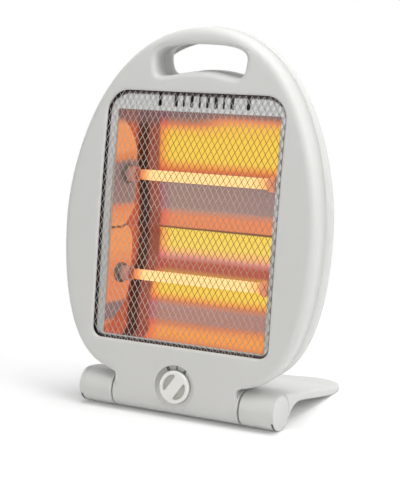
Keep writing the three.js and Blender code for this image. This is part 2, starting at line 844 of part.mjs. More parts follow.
function controlKnob() {
  const top = knobFoot + knobHeight;
  const edge = 1.6;
  const round = arcPoints(knobRadius - edge, top - edge, edge, 0, 90, 2).map((p) => [p.x, p.y]);
  const disc = turnedDial([[0, knobFoot], [knobRadius, knobFoot], ...round, [0, top]]);
  const socket = turnedDial(
    [
      [0, knobFoot - 1],
      [shaftRadius + gap, knobFoot - 1],
      [shaftRadius + gap, shaftTop + gap],
      [0, shaftTop + gap],
    ],
    24,
  );
  const pocketEnd = THREE.MathUtils.radToDeg(Math.acos(gripBarHalf / knobPocketRadius));
  const pockets = [0, 180].map((turn) => {
    const outline = arcPoints(0, 0, knobPocketRadius, turn - pocketEnd, turn + pocketEnd, 10);
    const geometry = new THREE.ExtrudeGeometry(new THREE.Shape(outline), {
      depth: knobPocketDepth + 1,
      bevelEnabled: false,
    });
    geometry.translate(0, 0, top - knobPocketDepth);
    geometry.rotateZ(-THREE.MathUtils.degToRad(knobTurn));
    return solid(geometry.applyMatrix4(dialFrame()));
  });
  return cut(disc, socket, ...pockets);
}

const switchFront = -dialDepth - wall - gap; // along the dial's axis

function switchShaft() {
  const inner = switchFront - switchDepth / 2 + gap;
  return turnedDial([[0, inner], [shaftRadius, inner], [shaftRadius, shaftTop], [0, shaftTop]], 24);
}

function selectorSwitch() {
  const body = new THREE.BoxGeometry(switchWidth, switchHeight, switchDepth);
  body.translate(0, 0, switchFront - switchDepth / 2);
  const bore = turnedDial(
    [
      [0, switchFront - switchDepth / 2],
      [shaftRadius + gap, switchFront - switchDepth / 2],
      [shaftRadius + gap, switchFront + 1],
      [0, switchFront + 1],
    ],
    24,
  );
  return cut(solid(body.applyMatrix4(dialFrame())), bore);
}

// ---------------------------------------------------------------- tip-over switch and small inner pieces

const tiltY = faceY(tiltZ) + tiltDepth;
const pivotZ = tiltZ - tiltBox[2] / 2 - 3;

// A block on the rear shell's wall that carries the tip-over switch.
function tiltShelf() {
  const [width, depth, height] = tiltBox;
  const front = tiltY + depth / 2 + gap;
  return box(tiltX - width / 2, tiltX + width / 2, front, backY(tiltZ) - wall / 2, tiltZ - height / 2, tiltZ + height / 2);
}

// The switch body has two ears, with the pendulum's pin between them.
function tiltSwitch() {
  const [width, depth, height] = tiltBox;
  const low = pivotZ - 3;
  const ears = [-1, 1].map((side) => {
    const inner = side * (width / 2 - 3);
    const outer = (side * width) / 2;
    return box(tiltX + Math.min(inner, outer), tiltX + Math.max(inner, outer), tiltY - 4, tiltY + 4, low, tiltZ);
  });
  const body = box(
    tiltX - width / 2,
    tiltX + width / 2,
    tiltY - depth / 2,
    tiltY + depth / 2,
    tiltZ - height / 2,
    tiltZ + height / 2,
  );
  const pinHoles = rodX(tiltY, pivotZ, 1.2 + gap / 2, tiltX - width, tiltX + width, 16);
  return cut(join(body, ...ears), pinHoles);
}

function tiltPendulum() {
  const pin = rodX(tiltY, pivotZ, 1.2, tiltX - tiltBox[0] / 2, tiltX + tiltBox[0] / 2, 16);
  const bobTop = pivotZ - pendulumLength + bobLength;
  const rod = rodZ(tiltX, tiltY, 1.8, bobTop - 1, pivotZ, 12);
  const bob = rodZ(tiltX, tiltY, bobRadius, bobTop - bobLength, bobTop);
  return join(pin, rod, bob);
}

// A disc thermostat on the back of the upper trough.
function thermalCutout() {
  const z = ridgeZ + 33;
  const seat = faceY(z + cutoutRadius) + troughDepth + sheet / 2 + 3 * gap;
  return rodY(0, z, cutoutRadius, seat, seat + cutoutThick);
}

function terminalBlock() {
  const [width, depth, height] = terminalBox;
  const floor = chinZ + wall + gap;
  return box(terminalX - width / 2, terminalX + width / 2, terminalY, terminalY + depth, floor, floor + height);
}

// The inlet bush: a flange outside, a neck through the wall and a bore for the lead.
function cordGrommet() {
  const seat = backY(grommetZ) - 1 + gap;
  const body = join(
    rodY(grommetX, grommetZ, grommetFlange, seat, seat + wall),
    rodY(grommetX, grommetZ, grommetRadius, seat - 3 * wall, seat + skin),
  );
  return cut(body, rodY(grommetX, grommetZ, grommetBore, seat - 4 * wall, seat + 2 * wall));
}

// ---------------------------------------------------------------- stand, hubs and hinge

// Height of the plate's top above the floor.
function standTop(y) {
  if (y > standShoulderY) return Math.max(toeThick, standShoulderZ - standSlope * (y - standShoulderY));
  const back = (standShoulderY - y) / (standShoulderY - standFrontY);
  return standShoulderZ + (standFrontZ - standShoulderZ) * back ** 2 * 0.4 + standSlope * (standShoulderY - y) * 0.6;
}

const standFoot = (y) => Math.max(footProud, standTop(y) - plateThick);

function standRing() {
  const corner = new THREE.CubicBezierCurve(
    flat(standHalf, standRearY - 16),
    flat(standHalf, standRearY - 5),
    flat(toeX + 16, standRearY),
    flat(toeX, standRearY),
  );
  const steps = 6;
  const side = Array.from({ length: steps }, (_, i) => {
    return flat(standHalf, standFrontY + ((standRearY - 16 - standFrontY) * i) / steps);
  });
  const half = [flat(0, standFrontY), ...side, ...corner.getPoints(6), flat(0, standRearY)];
  return mirrored(half).reverse();
}

function plateLoft(inside, topDrop, footAt) {
  const ring = standRing();
  const level = (r, heightAt) => r.map((p) => point(p.x, p.y, heightAt(p.y)));
  const round = inside > 0 ? 0 : standRound;
  const rings = [0, 30, 60, 90].map(THREE.MathUtils.degToRad).map((angle) => {
    const taken = inside + round * (1 - Math.sin(angle));
    return level(inset(ring, taken), (y) => standTop(y) - topDrop - round * (1 - Math.cos(angle)));
  });
  const used = round > 0 ? rings : [rings[3]];
  return loft([...used, level(inset(ring, inside), footAt)]);
}

// The scoop in the middle of the rear edge, an arc through the two toes.
function rearScoop() {
  const radius = (toeX ** 2 + toeDip ** 2) / (2 * toeDip);
  const half = THREE.MathUtils.radToDeg(Math.asin(toeX / radius));
  const centreY = standRearY - toeDip + radius;
  const straightDown = 270; // degrees
  const arc = arcPoints(0, centreY, radius, straightDown - half, straightDown + half, 12);
  const outline = [...arc, flat(toeX, standRearY + toeDip), flat(-toeX, standRearY + toeDip)];
  const depth = 2 * standFrontZ;
  const geometry = new THREE.ExtrudeGeometry(new THREE.Shape(outline), { depth, bevelEnabled: false });
  return solid(geometry.translate(0, 0, -standFrontZ / 2));
}

function hub(side) {
  return rodX(axisY, axisZ, hubRadius, side * hubInner, side * hubOuter, 32);
}

// The hub is open under its cap, with a boss in the middle for the hinge pin.
function hubHollow(side) {
  const inner = side * (hubInner + hubWall);
  const bore = rodX(axisY, axisZ, hubRadius - hubWall, inner, side * (hubOuter + 1), 28);
  const boss = rodX(axisY, axisZ, pinBossRadius, inner - side, inner + side * pinBossLength, 24);
  return cut(bore, boss);
}

// The arm that carries a hub back to the plate.
function hubArm(side) {
  const rear = standFrontY + 12;
  const profile = [
    [axisY, axisZ + hubRadius],
    [axisY + 8, axisZ + hubRadius - 1.2],
    [standFrontY - 8, standTop(standFrontY) + 0.8],
    [standFrontY + 2 * skin, standTop(standFrontY) - skin],
    [rear, standTop(rear) - skin],
    [rear, standFoot(rear) + 1],
    [standFrontY + 4.5, standFoot(rear) - 2.2],
    [axisY + hubRadius, axisZ - 6.5],
    [axisY + hubRadius - 6, axisZ - hubRadius + 2],
    [axisY, axisZ - hubRadius + 0.5],
  ];
  const from = side > 0 ? hubInner : -hubOuter;
  return prismX(profile, from, from + hubOuter - hubInner);
}

// Pads for the two front feet lie under the hubs.
const footPlaces = [
  [-(hubInner + hubOuter) / 2, axisY],
  [(hubInner + hubOuter) / 2, axisY],
];
const frontFootHalf = [11, 5];

function baseStand() {
  const sides = [-1, 1];
  const plate = cut(plateLoft(0, 0, standFoot), rearScoop());
  const pocket = plateLoft(wall, wall, (y) => standFoot(y) - 2 * wall);
  const deepScoop = rearScoop().translate([0, -wall - 1, 0]);
  const ribs = [-1, 0, 1].map((place) => {
    const x = (place * toeX * 2) / 3;
    return box(x - ribThick / 2, x + ribThick / 2, standFrontY, standRearY, -wall, standFrontZ);
  });
  const footPosts = sides.map((side) => rodZ(side * toeX, footRearY, footRadius + wall, -wall, standFrontZ));
  const webs = sides.map((side) => {
    const [x0, x1] = [side * (hubInner - 1), side * (standHalf + 1)].sort((a, b) => a - b);
    return box(x0, x1, standFrontY - 1, standFrontY + 12, -wall, standFrontZ + wall);
  });
  const body = join(
    cut(plate, cut(pocket, deepScoop, ...ribs, ...footPosts, ...webs)),
    ...sides.map(hubArm),
    ...sides.map(hub),
  );
  const pinBore = rodX(axisY, axisZ, pinRadius + gap, -hubOuter, hubOuter);
  const frontSeats = footPlaces.map(([x, y]) => {
    const [halfX, halfY] = frontFootHalf.map((half) => half + gap);
    return box(x - halfX, x + halfX, y - halfY, y + halfY, -1, footThick + gap);
  });
  const rearSeats = sides.map((side) => {
    return rodZ(side * toeX, footRearY, footRadius + gap, -1, footThick + gap);
  });
  const notches = sides.map((side) => {
    const [x0, x1] = [side * (hubOuter - 2.2), side * (hubOuter + 1)].sort((a, b) => a - b);
    return box(x0, x1, axisY - 13, axisY - 6, 0, axisZ - 8);
  });
  return cut(body, ...sides.map(hubHollow), pinBore, ...frontSeats, ...rearSeats, ...notches);
}

function frontFoot([x, y]) {
  const [halfX, halfY] = frontFootHalf;
  return box(x - halfX, x + halfX, y - halfY, y + halfY, 0, footThick);
}

// A domed end cap with a spigot that fits into the hub.
function hubCap(side) {
  const start = standHalf - capThick;
  const edge = (standHalf - start) * 0.7;
  const round = arcPoints(hubRadius - edge, standHalf - edge, edge, 0, 90, 2).map((p) => [p.x, p.y]);
  const spigot = hubRadius - hubWall - gap;
  return turnedX(
    [
      [0, start - 3],
      [spigot, start - 3],
      [spigot, start],
      [hubRadius, start],
      ...round,
      [0, standHalf],
    ],
    axisY,
    axisZ,
    side,
    32,
  );
}

function hingePin(side) {
  const head = barrelHalf - wall - gap;
  return turnedX(
    [
      [0, head - pinHeadThick],
      [pinHeadRadius, head - pinHeadThick],
      [pinHeadRadius, head],
      [pinRadius, head],
      [pinRadius, hubInner + hubWall + pinBossLength],
      [0, hubInner + hubWall + pinBossLength],
    ],
    axisY,
    axisZ,
    side,
  );
}

function frictionWasher(side) {
  const [inner, outer] = [barrelHalf + gap, hubInner - gap];
  return turnedX(
    [
      [pinRadius + gap, inner],
      [washerRadius, inner],
      [washerRadius, outer],
      [pinRadius + gap, outer],
      [pinRadius + gap, inner],
    ],
    axisY,
    axisZ,
    side,
  );
}

// ---------------------------------------------------------------- assembly

const whitePlastic = { color: 0xd6d6d3, roughness: 0.45, metalness: 0 };
const knobPlastic = { color: 0xe2e2df, roughness: 0.35, metalness: 0 };
const darkPlastic = { color: 0x2b2b2d, roughness: 0.6, metalness: 0 };
const paleNylon = { color: 0xcfc9ba, roughness: 0.6, metalness: 0 };
const rubber = { color: 0x3a3a3a, roughness: 0.9, metalness: 0 };
const steel = { color: 0xa8a8a8, roughness: 0.4, metalness: 1 };
const brightSheet = { color: 0xd9d9d9, roughness: 0.15, metalness: 1 };
const zincSheet = { color: 0xb9bab6, roughness: 0.4, metalness: 1 };
const quartz = { color: 0xf7e6b0, roughness: 0.2, metalness: 0, emissive: 0xffb347 };
const wire = { color: 0xff8a2a, roughness: 0.5, metalness: 1, emissive: 0xff6a10 };
const ceramic = { color: 0x9c9d98, roughness: 0.7, metalness: 0 };
const brass = { color: 0xb08d4a, roughness: 0.4, metalness: 1 };

function piece(name, body, finish) {
  const made = body.getMesh();
  const geometry = new THREE.BufferGeometry();
  const places = new Float32Array(made.numVert * 3);
  for (let i = 0; i < made.numVert; i++) {
    const start = i * made.numProp;
    places.set(made.vertProperties.subarray(start, start + 3), i * 3);
  }
  geometry.setAttribute("position", new THREE.BufferAttribute(places, 3));
  geometry.setIndex(new THREE.BufferAttribute(made.triVerts, 1));
  const mesh = new THREE.Mesh(geometry, new THREE.MeshStandardMaterial(finish));
  mesh.name = name;
  return mesh;
}

const sides = [
  ["left", -1],
  ["right", 1],
];
const levels = [
  ["upper", upperTubeZ],
  ["lower", lowerTubeZ],
];

const housing = new THREE.Group();
housing.add(
  piece("front_shell", frontShell(), whitePlastic),
  piece("rear_shell", rearShell(), whitePlastic),
  piece("guard_mesh", guardNet(), steel),
  piece("reflector_bezel", bezel(), zincSheet),
  piece("reflector", reflector(), brightSheet),
  piece("selector_switch", selectorSwitch(), darkPlastic),
  piece("tilt_switch", tiltSwitch(), darkPlastic),
  piece("thermal_cutout", thermalCutout(), brass),
  piece("terminal_block", terminalBlock(), paleNylon),
  piece("cord_grommet", cordGrommet(), whitePlastic),
);
for (const [sideName, side] of sides) {
  housing.add(piece(`reflector_end_${sideName}`, reflectorEnd(side), brightSheet));
  for (const [levelName, z] of levels) {
    housing.add(piece(`tube_holder_${levelName}_${sideName}`, tubeHolder(z, side), ceramic));
  }
}
for (const [levelName, z] of levels) {
  housing.add(piece(`quartz_tube_${levelName}`, quartzTube(z), quartz));
  housing.add(piece(`heating_coil_${levelName}`, heatingCoil(z), wire));
}
eachScrew((x, z) => [x, z]).forEach(([x, z], i) => {
  housing.add(piece(`shell_screw_${i + 1}`, shellScrew(x, z), steel));
});

const knob = new THREE.Group();
knob.add(
  piece("control_knob", controlKnob(), knobPlastic),
  piece("switch_shaft", switchShaft(), steel),
);

const pendulum = new THREE.Group();
pendulum.add(piece("tilt_pendulum", tiltPendulum(), brass));

const stand = new THREE.Group();
stand.add(piece("base_stand", baseStand(), whitePlastic));
sides.forEach(([sideName, side], i) => {
  stand.add(
    piece(`hub_cap_${sideName}`, hubCap(side), whitePlastic),
    piece(`hinge_pin_${sideName}`, hingePin(side), steel),
    piece(`friction_washer_${sideName}`, frictionWasher(side), darkPlastic),
    piece(`foot_front_${sideName}`, frontFoot(footPlaces[i]), rubber),
    piece(`foot_rear_${sideName}`, rodZ(side * toeX, footRearY, footRadius, 0, footThick), rubber),
  );
});

const assembly = new THREE.Group();
assembly.add(housing, knob, pendulum, stand);

// The whole is set over its origin: the middle of its depth and width, with its feet on the floor.
const extent = new THREE.Box3().setFromObject(assembly);
const middle = extent.getCenter(new THREE.Vector3());
assembly.position.set(-middle.x, -middle.y, -extent.min.z);

const heater = new THREE.Group();
heater.add(assembly);

export default heater;
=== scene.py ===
# %% [markdown]
# # A halogen heater, built round its CAD frame
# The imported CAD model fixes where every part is. This lesson makes the pieces that a viewer sees: the two
# moulded shells, the net in the window, the mirror troughs with their two glowing tubes, the dial and the
# folding stand. Each piece is drawn in millimetres and moved into the frame, in metres, at the very end.

# %% Load the frame
import math

import bmesh
import bpy
import numpy as np
from mathutils import Matrix, Vector
from mathutils.geometry import delaunay_2d_cdt


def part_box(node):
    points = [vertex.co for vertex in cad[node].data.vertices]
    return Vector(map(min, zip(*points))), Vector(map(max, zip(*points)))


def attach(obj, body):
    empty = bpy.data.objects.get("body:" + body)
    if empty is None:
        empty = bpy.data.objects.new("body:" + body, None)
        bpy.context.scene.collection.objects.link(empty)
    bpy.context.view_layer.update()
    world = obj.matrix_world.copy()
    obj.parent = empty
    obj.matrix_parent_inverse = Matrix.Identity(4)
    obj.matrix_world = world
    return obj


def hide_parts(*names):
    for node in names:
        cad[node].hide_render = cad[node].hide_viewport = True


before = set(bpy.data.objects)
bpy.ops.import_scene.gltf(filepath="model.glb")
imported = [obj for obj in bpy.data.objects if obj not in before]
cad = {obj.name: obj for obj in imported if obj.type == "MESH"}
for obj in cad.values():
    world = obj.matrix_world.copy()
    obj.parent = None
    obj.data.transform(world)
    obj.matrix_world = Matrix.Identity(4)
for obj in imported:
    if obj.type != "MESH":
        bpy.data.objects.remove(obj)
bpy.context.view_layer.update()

# %% [markdown]
# ## Sizes
# The drawing's origin is on the floor, with the stand's fold axis 9 mm behind it. The frame's origin is under
# the middle of the object, so the hinge pins, which lie on that axis, give the distance between the two.

# %% The drawing's sizes, in millimetres
MM = 0.001
AXIS_Y, AXIS_Z = 9.0, 17.6
BARREL_RADIUS = 16.81
BARREL_HALF = 68.3
CROWN_Z = 370.5
WAIST_Z = 180.8
HALF_WIDTH = 136.0
NECK_HALF = 66.0
CHIN_Z = 38.5
WINDOW_HALF = 95.8
WINDOW_TOP, WINDOW_FOOT = 309.8, 69.3
DIAL_Z = 31.5

pin_low, pin_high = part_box("hinge_pin_left")
depth_shift = (pin_low.y + pin_high.y) / 2 / MM - AXIS_Y


def metres(points):
    """Points of the drawing, in millimetres, as points of the frame, in metres."""
    moved = np.array(points, float).reshape(-1, 3)
    moved[:, 1] += depth_shift
    return moved * MM


print("the drawing lies", round(depth_shift, 2), "mm from the frame's origin, along Y")

# %% [markdown]
# ## Small helpers
# A hex colour is what a screen shows, while the renderer adds up light, so one function turns the first into
# the second. Another adds a node with its settings and links, for materials and for Geometry Nodes alike.

# %% Colour and node helpers


def linear(hex_code):
    """An sRGB hex colour as linear red, green, blue and alpha."""
    parts = [int(hex_code[i : i + 2], 16) / 255 for i in (1, 3, 5)]
    return [c / 12.92 if c <= 0.04045 else ((c + 0.055) / 1.055) ** 2.4 for c in parts] + [1.0]


def new_object(name, data):
    """Makes an object and puts it into the scene."""
    made = bpy.data.objects.new(name, data)
    bpy.context.scene.collection.objects.link(made)
    return made


def add_node(tree, kind, inputs=None, **settings):
    """Adds a node; inputs maps a socket to a value or to another node's output."""
    made = tree.nodes.new(kind)
    for name, value in settings.items():
        setattr(made, name, value)
    for socket, value in (inputs or {}).items():
        if isinstance(value, bpy.types.NodeSocket):
            tree.links.new(value, made.inputs[socket])
        else:
            made.inputs[socket].default_value = value
    return made


def ramp_along(tree, value, stops_mm):
    """A colour ramp whose stops are given in millimetres along a value in metres."""
    low, high = stops_mm[0][0], stops_mm[-1][0]
    along = add_node(
        tree,
        "ShaderNodeMapRange",
        {"Value": value, "From Min": low * MM, "From Max": high * MM},
    )
    ramp = add_node(tree, "ShaderNodeValToRGB", {"Fac": along.outputs["Result"]})
    stops = ramp.color_ramp.elements
    stops[0].color = linear(stops_mm[0][1])
    stops[1].color = linear(stops_mm[-1][1])
    for at, shade in stops_mm[1:-1]:
        stops.new((at - low) / (high - low)).color = linear(shade)
    return ramp.outputs["Color"]


def new_material(name):
    """An empty node material, its tree, its Object coordinates and its output node."""
    material = bpy.data.materials.new(name)
    material.use_nodes = True
    tree = material.node_tree
    tree.nodes.clear()
    place = add_node(tree, "ShaderNodeTexCoord").outputs["Object"]
    output = add_node(tree, "ShaderNodeOutputMaterial")
    return material, tree, place, output


# %% [markdown]
# ## Camera
# The photograph is taken from the right, a little above the heater, with a long lens. The lens is given for
# the picture's long side, which is its height.

# %% Camera
EYE = (611.6, -1102.2, 419.3)
AIM = (25.5, 0.0, 167.3)
LENS = 98.09

camera_data = bpy.data.cameras.new("camera")
camera_data.lens = LENS
camera = new_object("camera", camera_data)
eye, aim = (Vector(metres(point)[0]) for point in (EYE, AIM))
camera.location = eye
camera.rotation_euler = (aim - eye).to_track_quat("-Z", "Y").to_euler()
bpy.context.scene.camera = camera
print("camera", [round(v, 3) for v in eye], "lens", camera_data.lens)

# %% [markdown]
# ## Materials
# ### Moulded ABS
# The housing and the stand are injection-moulded ABS, off-white and satin. The steel mould is finely
# spark-eroded, which leaves a soft grain that spreads the highlights. The real grain is about 0.1 mm; it is
# drawn at 0.9 mm so that it shows at all. Shade is painted into the dish and the pockets of the dial: the
# vertices there carry a measure of it, and the plastic's colour turns darker as it grows.

# %% Plastics
SHADE_FROM, SHADE_FULL = 0.4, 2.6
CLOUD_SHADE = 0.965


def moulded_plastic(name, colour, grain_mm, grain_depth_mm, roughness, coat=0.0, painted_shade=None):
    """Plastic with a faint cloudiness of colour and the grain of its mould.

    Shade is painted into pockets: where the vertices' measure of it is large, the colour goes over to a
    darker one.
    """
    material, tree, place, output = new_material(name)
    cloud = add_node(tree, "ShaderNodeTexNoise", {"Vector": place, "Scale": 14.0, "Detail": 3.0})
    tint = add_node(tree, "ShaderNodeMix", {"Factor": cloud.outputs["Fac"]}, data_type="RGBA")
    pale = linear(colour)
    tint.inputs["A"].default_value = pale
    tint.inputs["B"].default_value = [c * CLOUD_SHADE for c in pale[:3]] + [1.0]
    grain = add_node(
        tree,
        "ShaderNodeTexNoise",
        {"Vector": place, "Scale": 1 / (grain_mm * MM), "Detail": 2.0},
    )
    bump = add_node(
        tree,
        "ShaderNodeBump",
        {"Height": grain.outputs["Fac"], "Distance": grain_depth_mm * MM, "Strength": 0.5},
    )
    sheen = add_node(
        tree,
        "ShaderNodeMapRange",
        {"Value": cloud.outputs["Fac"], "To Min": roughness - 0.04, "To Max": roughness + 0.06},
    )
    surface = add_node(
        tree,
        "ShaderNodeBsdfPrincipled",
        {
            "Base Color": tint.outputs["Result"],
            "Roughness": sheen.outputs["Result"],
            "Normal": bump.outputs["Normal"],
            "IOR": 1.53,
            "Coat Weight": coat,
            "Coat Roughness": 0.2,
        },
    )
    # Painted shade: the colour darkens where the vertices' measure is large.
    if painted_shade:
        deep = add_node(tree, "ShaderNodeAttribute", attribute_name="painted_shade_mm")
        share = add_node(
            tree,
            "ShaderNodeMapRange",
            {"Value": deep.outputs["Fac"], "From Min": SHADE_FROM, "From Max": SHADE_FULL},
        )
        shade = add_node(
            tree,
            "ShaderNodeMix",
            {"Factor": share.outputs["Result"], "A": tint.outputs["Result"], "B": linear(painted_shade)},
            data_type="RGBA",
        )
        tree.links.new(shade.outputs["Result"], surface.inputs["Base Color"])
    tree.links.new(surface.outputs[0], output.inputs["Surface"])
    return material


# The last colours are the painted shade in the dial's dish and in the knob's pockets.
housing_abs = moulded_plastic("moulded_white_abs", "#D4D4D1", 0.9, 0.012, 0.42, painted_shade="#8B8A87")
knob_abs = moulded_plastic("polished_white_abs", "#EDEDE8", 0.9, 0.006, 0.32, coat=0.2, painted_shade="#BFBEB8")
black_nylon = moulded_plastic("moulded_black_nylon", "#2B2B2D", 0.8, 0.02, 0.5)
natural_nylon = moulded_plastic("moulded_natural_nylon", "#CFC9BA", 0.8, 0.02, 0.5)
foot_rubber = moulded_plastic("moulded_pale_rubber", "#CFCFCC", 0.6, 0.03, 0.8)
print("plastics made")

# %% [markdown]
# ### Metals
# The frame behind the net is satin aluminium, and the screws and pins are zinc-plated steel. Rolling leaves
# fine lines along a sheet, so the polish is not quite even: a noise stretched along X changes the roughness
# and bends the reflections a little. Under the window's edge the frame lies in the shell's shadow, which a
# measure of its vertices, from_window, paints in where it is small.

# %% Metals
LINE_STRETCH = (0.04, 1.0, 1.0)
LINE_DEPTH_MM = 0.01
POLISH_SPREAD = 0.06
SHADOW_FROM, SHADOW_TO = 1.4, 3.0


def rolled_metal(name, colour, roughness, line_mm, edge_shade=False):
    """Metal with fine rolling lines along X, in its polish and its surface.

    A sheet behind the window's edge sinks into the shell's shadow there: its attribute from_window is the
    distance to that edge, in millimetres, and darkens the metal where it is small.
    """
    material, tree, place, output = new_material(name)
    stretched = add_node(
        tree,
        "ShaderNodeMapping",
        {"Vector": place, "Scale": LINE_STRETCH},
    )
    lines = add_node(
        tree,
        "ShaderNodeTexNoise",
        {"Vector": stretched.outputs[0], "Scale": 1 / (line_mm * MM), "Detail": 3.0},
    )
    polish = add_node(
        tree,
        "ShaderNodeMapRange",
        {
            "Value": lines.outputs["Fac"],
            "To Min": roughness - POLISH_SPREAD,
            "To Max": roughness + POLISH_SPREAD,
        },
    )
    bump = add_node(
        tree,
        "ShaderNodeBump",
        {"Height": lines.outputs["Fac"], "Distance": LINE_DEPTH_MM * MM, "Strength": 0.4},
    )
    surface = add_node(
        tree,
        "ShaderNodeBsdfPrincipled",
        {
            "Base Color": linear(colour),
            "Metallic": 1.0,
            "Roughness": polish.outputs["Result"],
            "Normal": bump.outputs["Normal"],
        },
    )
    if edge_shade:
        near = add_node(tree, "ShaderNodeAttribute", attribute_name="from_window")
        open_part = add_node(
            tree,
            "ShaderNodeMapRange",
            {"Value": near.outputs["Fac"], "From Min": SHADOW_FROM, "From Max": SHADOW_TO},
            interpolation_type="SMOOTHSTEP",
        )
        shade = add_node(tree, "ShaderNodeMix", {"Factor": open_part.outputs["Result"]}, data_type="RGBA")
        shade.inputs["A"].default_value = linear("#564F4C")
        shade.inputs["B"].default_value = linear(colour)
        tree.links.new(shade.outputs["Result"], surface.inputs["Base Color"])
    tree.links.new(surface.outputs[0], output.inputs["Surface"])
    return material


shaded_frame = rolled_metal("satin_aluminium_frame", "#BFC1BF", 0.42, 0.9, edge_shade=True)
zinc_steel = rolled_metal("zinc_plated_steel", "#A9AAA8", 0.38, 0.6)
plain_brass = rolled_metal("plain_brass", "#B08D4A", 0.35, 0.6)
print("metals made")

# %% [markdown]
# ### Wire in front of the glow
# A thin wire looks bright before something dark, and brown before something brighter than itself. At this
# size the renderer can't show that in a short time, so that light and shade are painted into the wire's
# colour
# by what lies behind it: a ramp along the height takes it from bare metal to a painted backlit brown, from
# the place along X where the glow starts.

# %% Plated wire
GLOW_FROM, GLOW_FULL = -42, -32
BARE_WIRE = "#C6BFBC"
BACKLIT_HAZE = "#B8A294"
BACKLIT_BROWN = "#94795A"
# Painted backlight on the wire, by height.
BACKLIT_WIRE_BANDS = [
    (60.0, BARE_WIRE),
    (93.0, BACKLIT_HAZE),
    (97.0, BARE_WIRE),
    (109.0, BARE_WIRE),
    (113.0, BACKLIT_BROWN),
    (137.0, BACKLIT_BROWN),
    (142.0, BACKLIT_HAZE),
    (152.0, "#C0B0A4"),
    (158.0, BACKLIT_BROWN),
    (182.0, BACKLIT_BROWN),
    (185.0, "#B8A090"),
    (194.0, BACKLIT_HAZE),
    (200.0, BARE_WIRE),
    (223.0, BARE_WIRE),
    (225.5, "#9C8266"),
    (240.0, BACKLIT_BROWN),
    (267.0, BACKLIT_BROWN),
    (277.0, "#A08C7C"),
    (286.0, BARE_WIRE),
    (320.0, BARE_WIRE),
]


def wire_in_glow():
    """The guard's plated wire, with light and shade painted in: bright before the dark sheets, brown before
    the yellow ones.
    """
    material = rolled_metal("bright_plated_steel", BARE_WIRE, 0.34, 0.8)
    tree = material.node_tree
    surface = next(node for node in tree.nodes if node.type == "BSDF_PRINCIPLED")
    place = add_node(tree, "ShaderNodeTexCoord").outputs["Object"]
    split = add_node(tree, "ShaderNodeSeparateXYZ", {"Vector": place})
    inside = add_node(
        tree,
        "ShaderNodeMapRange",
        {"Value": split.outputs["X"], "From Min": GLOW_FROM * MM, "From Max": GLOW_FULL * MM},
    )
    colour = add_node(tree, "ShaderNodeMix", {"Factor": inside.outputs["Result"]}, data_type="RGBA")
    colour.inputs["A"].default_value = linear(BARE_WIRE)
    tree.links.new(ramp_along(tree, split.outputs["Z"], BACKLIT_WIRE_BANDS), colour.inputs["B"])
    tree.links.new(colour.outputs["Result"], surface.inputs["Base Color"])
    return material


plated_steel = wire_in_glow()
print("wire ramp of", len(BACKLIT_WIRE_BANDS), "stops")

# %% [markdown]
# ### Ceramic, quartz and hot wire
# Steatite holders are fired clay: matt, grey and slightly speckled; the tube's light on the collars next to
# the glow is painted on them as an orange glow. A quartz tube is clear, so the eye meets the light of the
# wire
# inside: pale yellow along the winding, and a dull red where the winding ends. Both are colour ramps along X,
# laid out in millimetres. The tube gives a third more light than its colours say, which makes the yellow
# paler.

# %% Ceramic and glow
COLLAR_GLOW_STOPS = [
    (-81.5, "#000000"),
    (-80.0, "#8A4A3E"),
    (-72.0, "#A0503F"),
    (0.0, "#A0503F"),
    (72.0, "#DC7C46"),
    (80.0, "#C8693E"),
    (81.5, "#000000"),
]
QUARTZ_STOPS = [
    (-78.0, "#7C4238"),
    (-68.0, "#8A4A3C"),
    (-66.5, "#D2703C"),
    (-62.0, "#E88E50"),
    (-57.0, "#F6C47C"),
    (-50.0, "#F8CE8C"),
    (56.0, "#F8CE8C"),
    (66.0, "#F4BA78"),
    (72.0, "#E8A064"),
    (78.0, "#B86038"),
]
WIRE_STOPS = [(-76.0, "#8A3A18"), (-66.0, "#FFC880"), (66.0, "#FFC880"), (76.0, "#8A3A18")]


def fired_ceramic(name, colour, speck):
    """Fired clay, with the tube's light on the collar next to the glow painted on as emission."""
    material, tree, place, output = new_material(name)
    specks = add_node(tree, "ShaderNodeTexNoise", {"Vector": place, "Scale": 900.0, "Detail": 4.0})
    tint = add_node(tree, "ShaderNodeMix", {"Factor": specks.outputs["Fac"]}, data_type="RGBA")
    tint.inputs["A"].default_value = linear(colour)
    tint.inputs["B"].default_value = linear(speck)
    bump = add_node(
        tree,
        "ShaderNodeBump",
        {"Height": specks.outputs["Fac"], "Distance": 0.00003, "Strength": 0.4},
    )
    surface = add_node(
        tree,
        "ShaderNodeBsdfPrincipled",
        {
            "Base Color": tint.outputs["Result"],
            "Roughness": 0.75,
            "Normal": bump.outputs["Normal"],
        },
    )
    split = add_node(tree, "ShaderNodeSeparateXYZ", {"Vector": place})
    # The tube's light on the collar is painted in as emission.
    painted_glow = ramp_along(tree, split.outputs["X"], COLLAR_GLOW_STOPS)
    light = add_node(tree, "ShaderNodeEmission", {"Color": painted_glow})
    both = add_node(tree, "ShaderNodeAddShader", {0: surface.outputs[0], 1: light.outputs[0]})
    tree.links.new(both.outputs[0], output.inputs["Surface"])
    return material


def glowing(name, stops_mm, strength):
    """Light that changes its colour along X."""
    material, tree, place, output = new_material(name)
    split = add_node(tree, "ShaderNodeSeparateXYZ", {"Vector": place})
    colour = ramp_along(tree, split.outputs["X"], stops_mm)
    surface = add_node(tree, "ShaderNodeEmission", {"Color": colour, "Strength": strength})
    tree.links.new(surface.outputs[0], output.inputs["Surface"])
    return material


steatite = fired_ceramic("fired_steatite", "#8F8E8B", "#7C7B79")
glowing_quartz = glowing("glowing_quartz", QUARTZ_STOPS, 1.35)
hot_wire = glowing("white_hot_wire", WIRE_STOPS, 3.0)
print("ceramic and glow made")
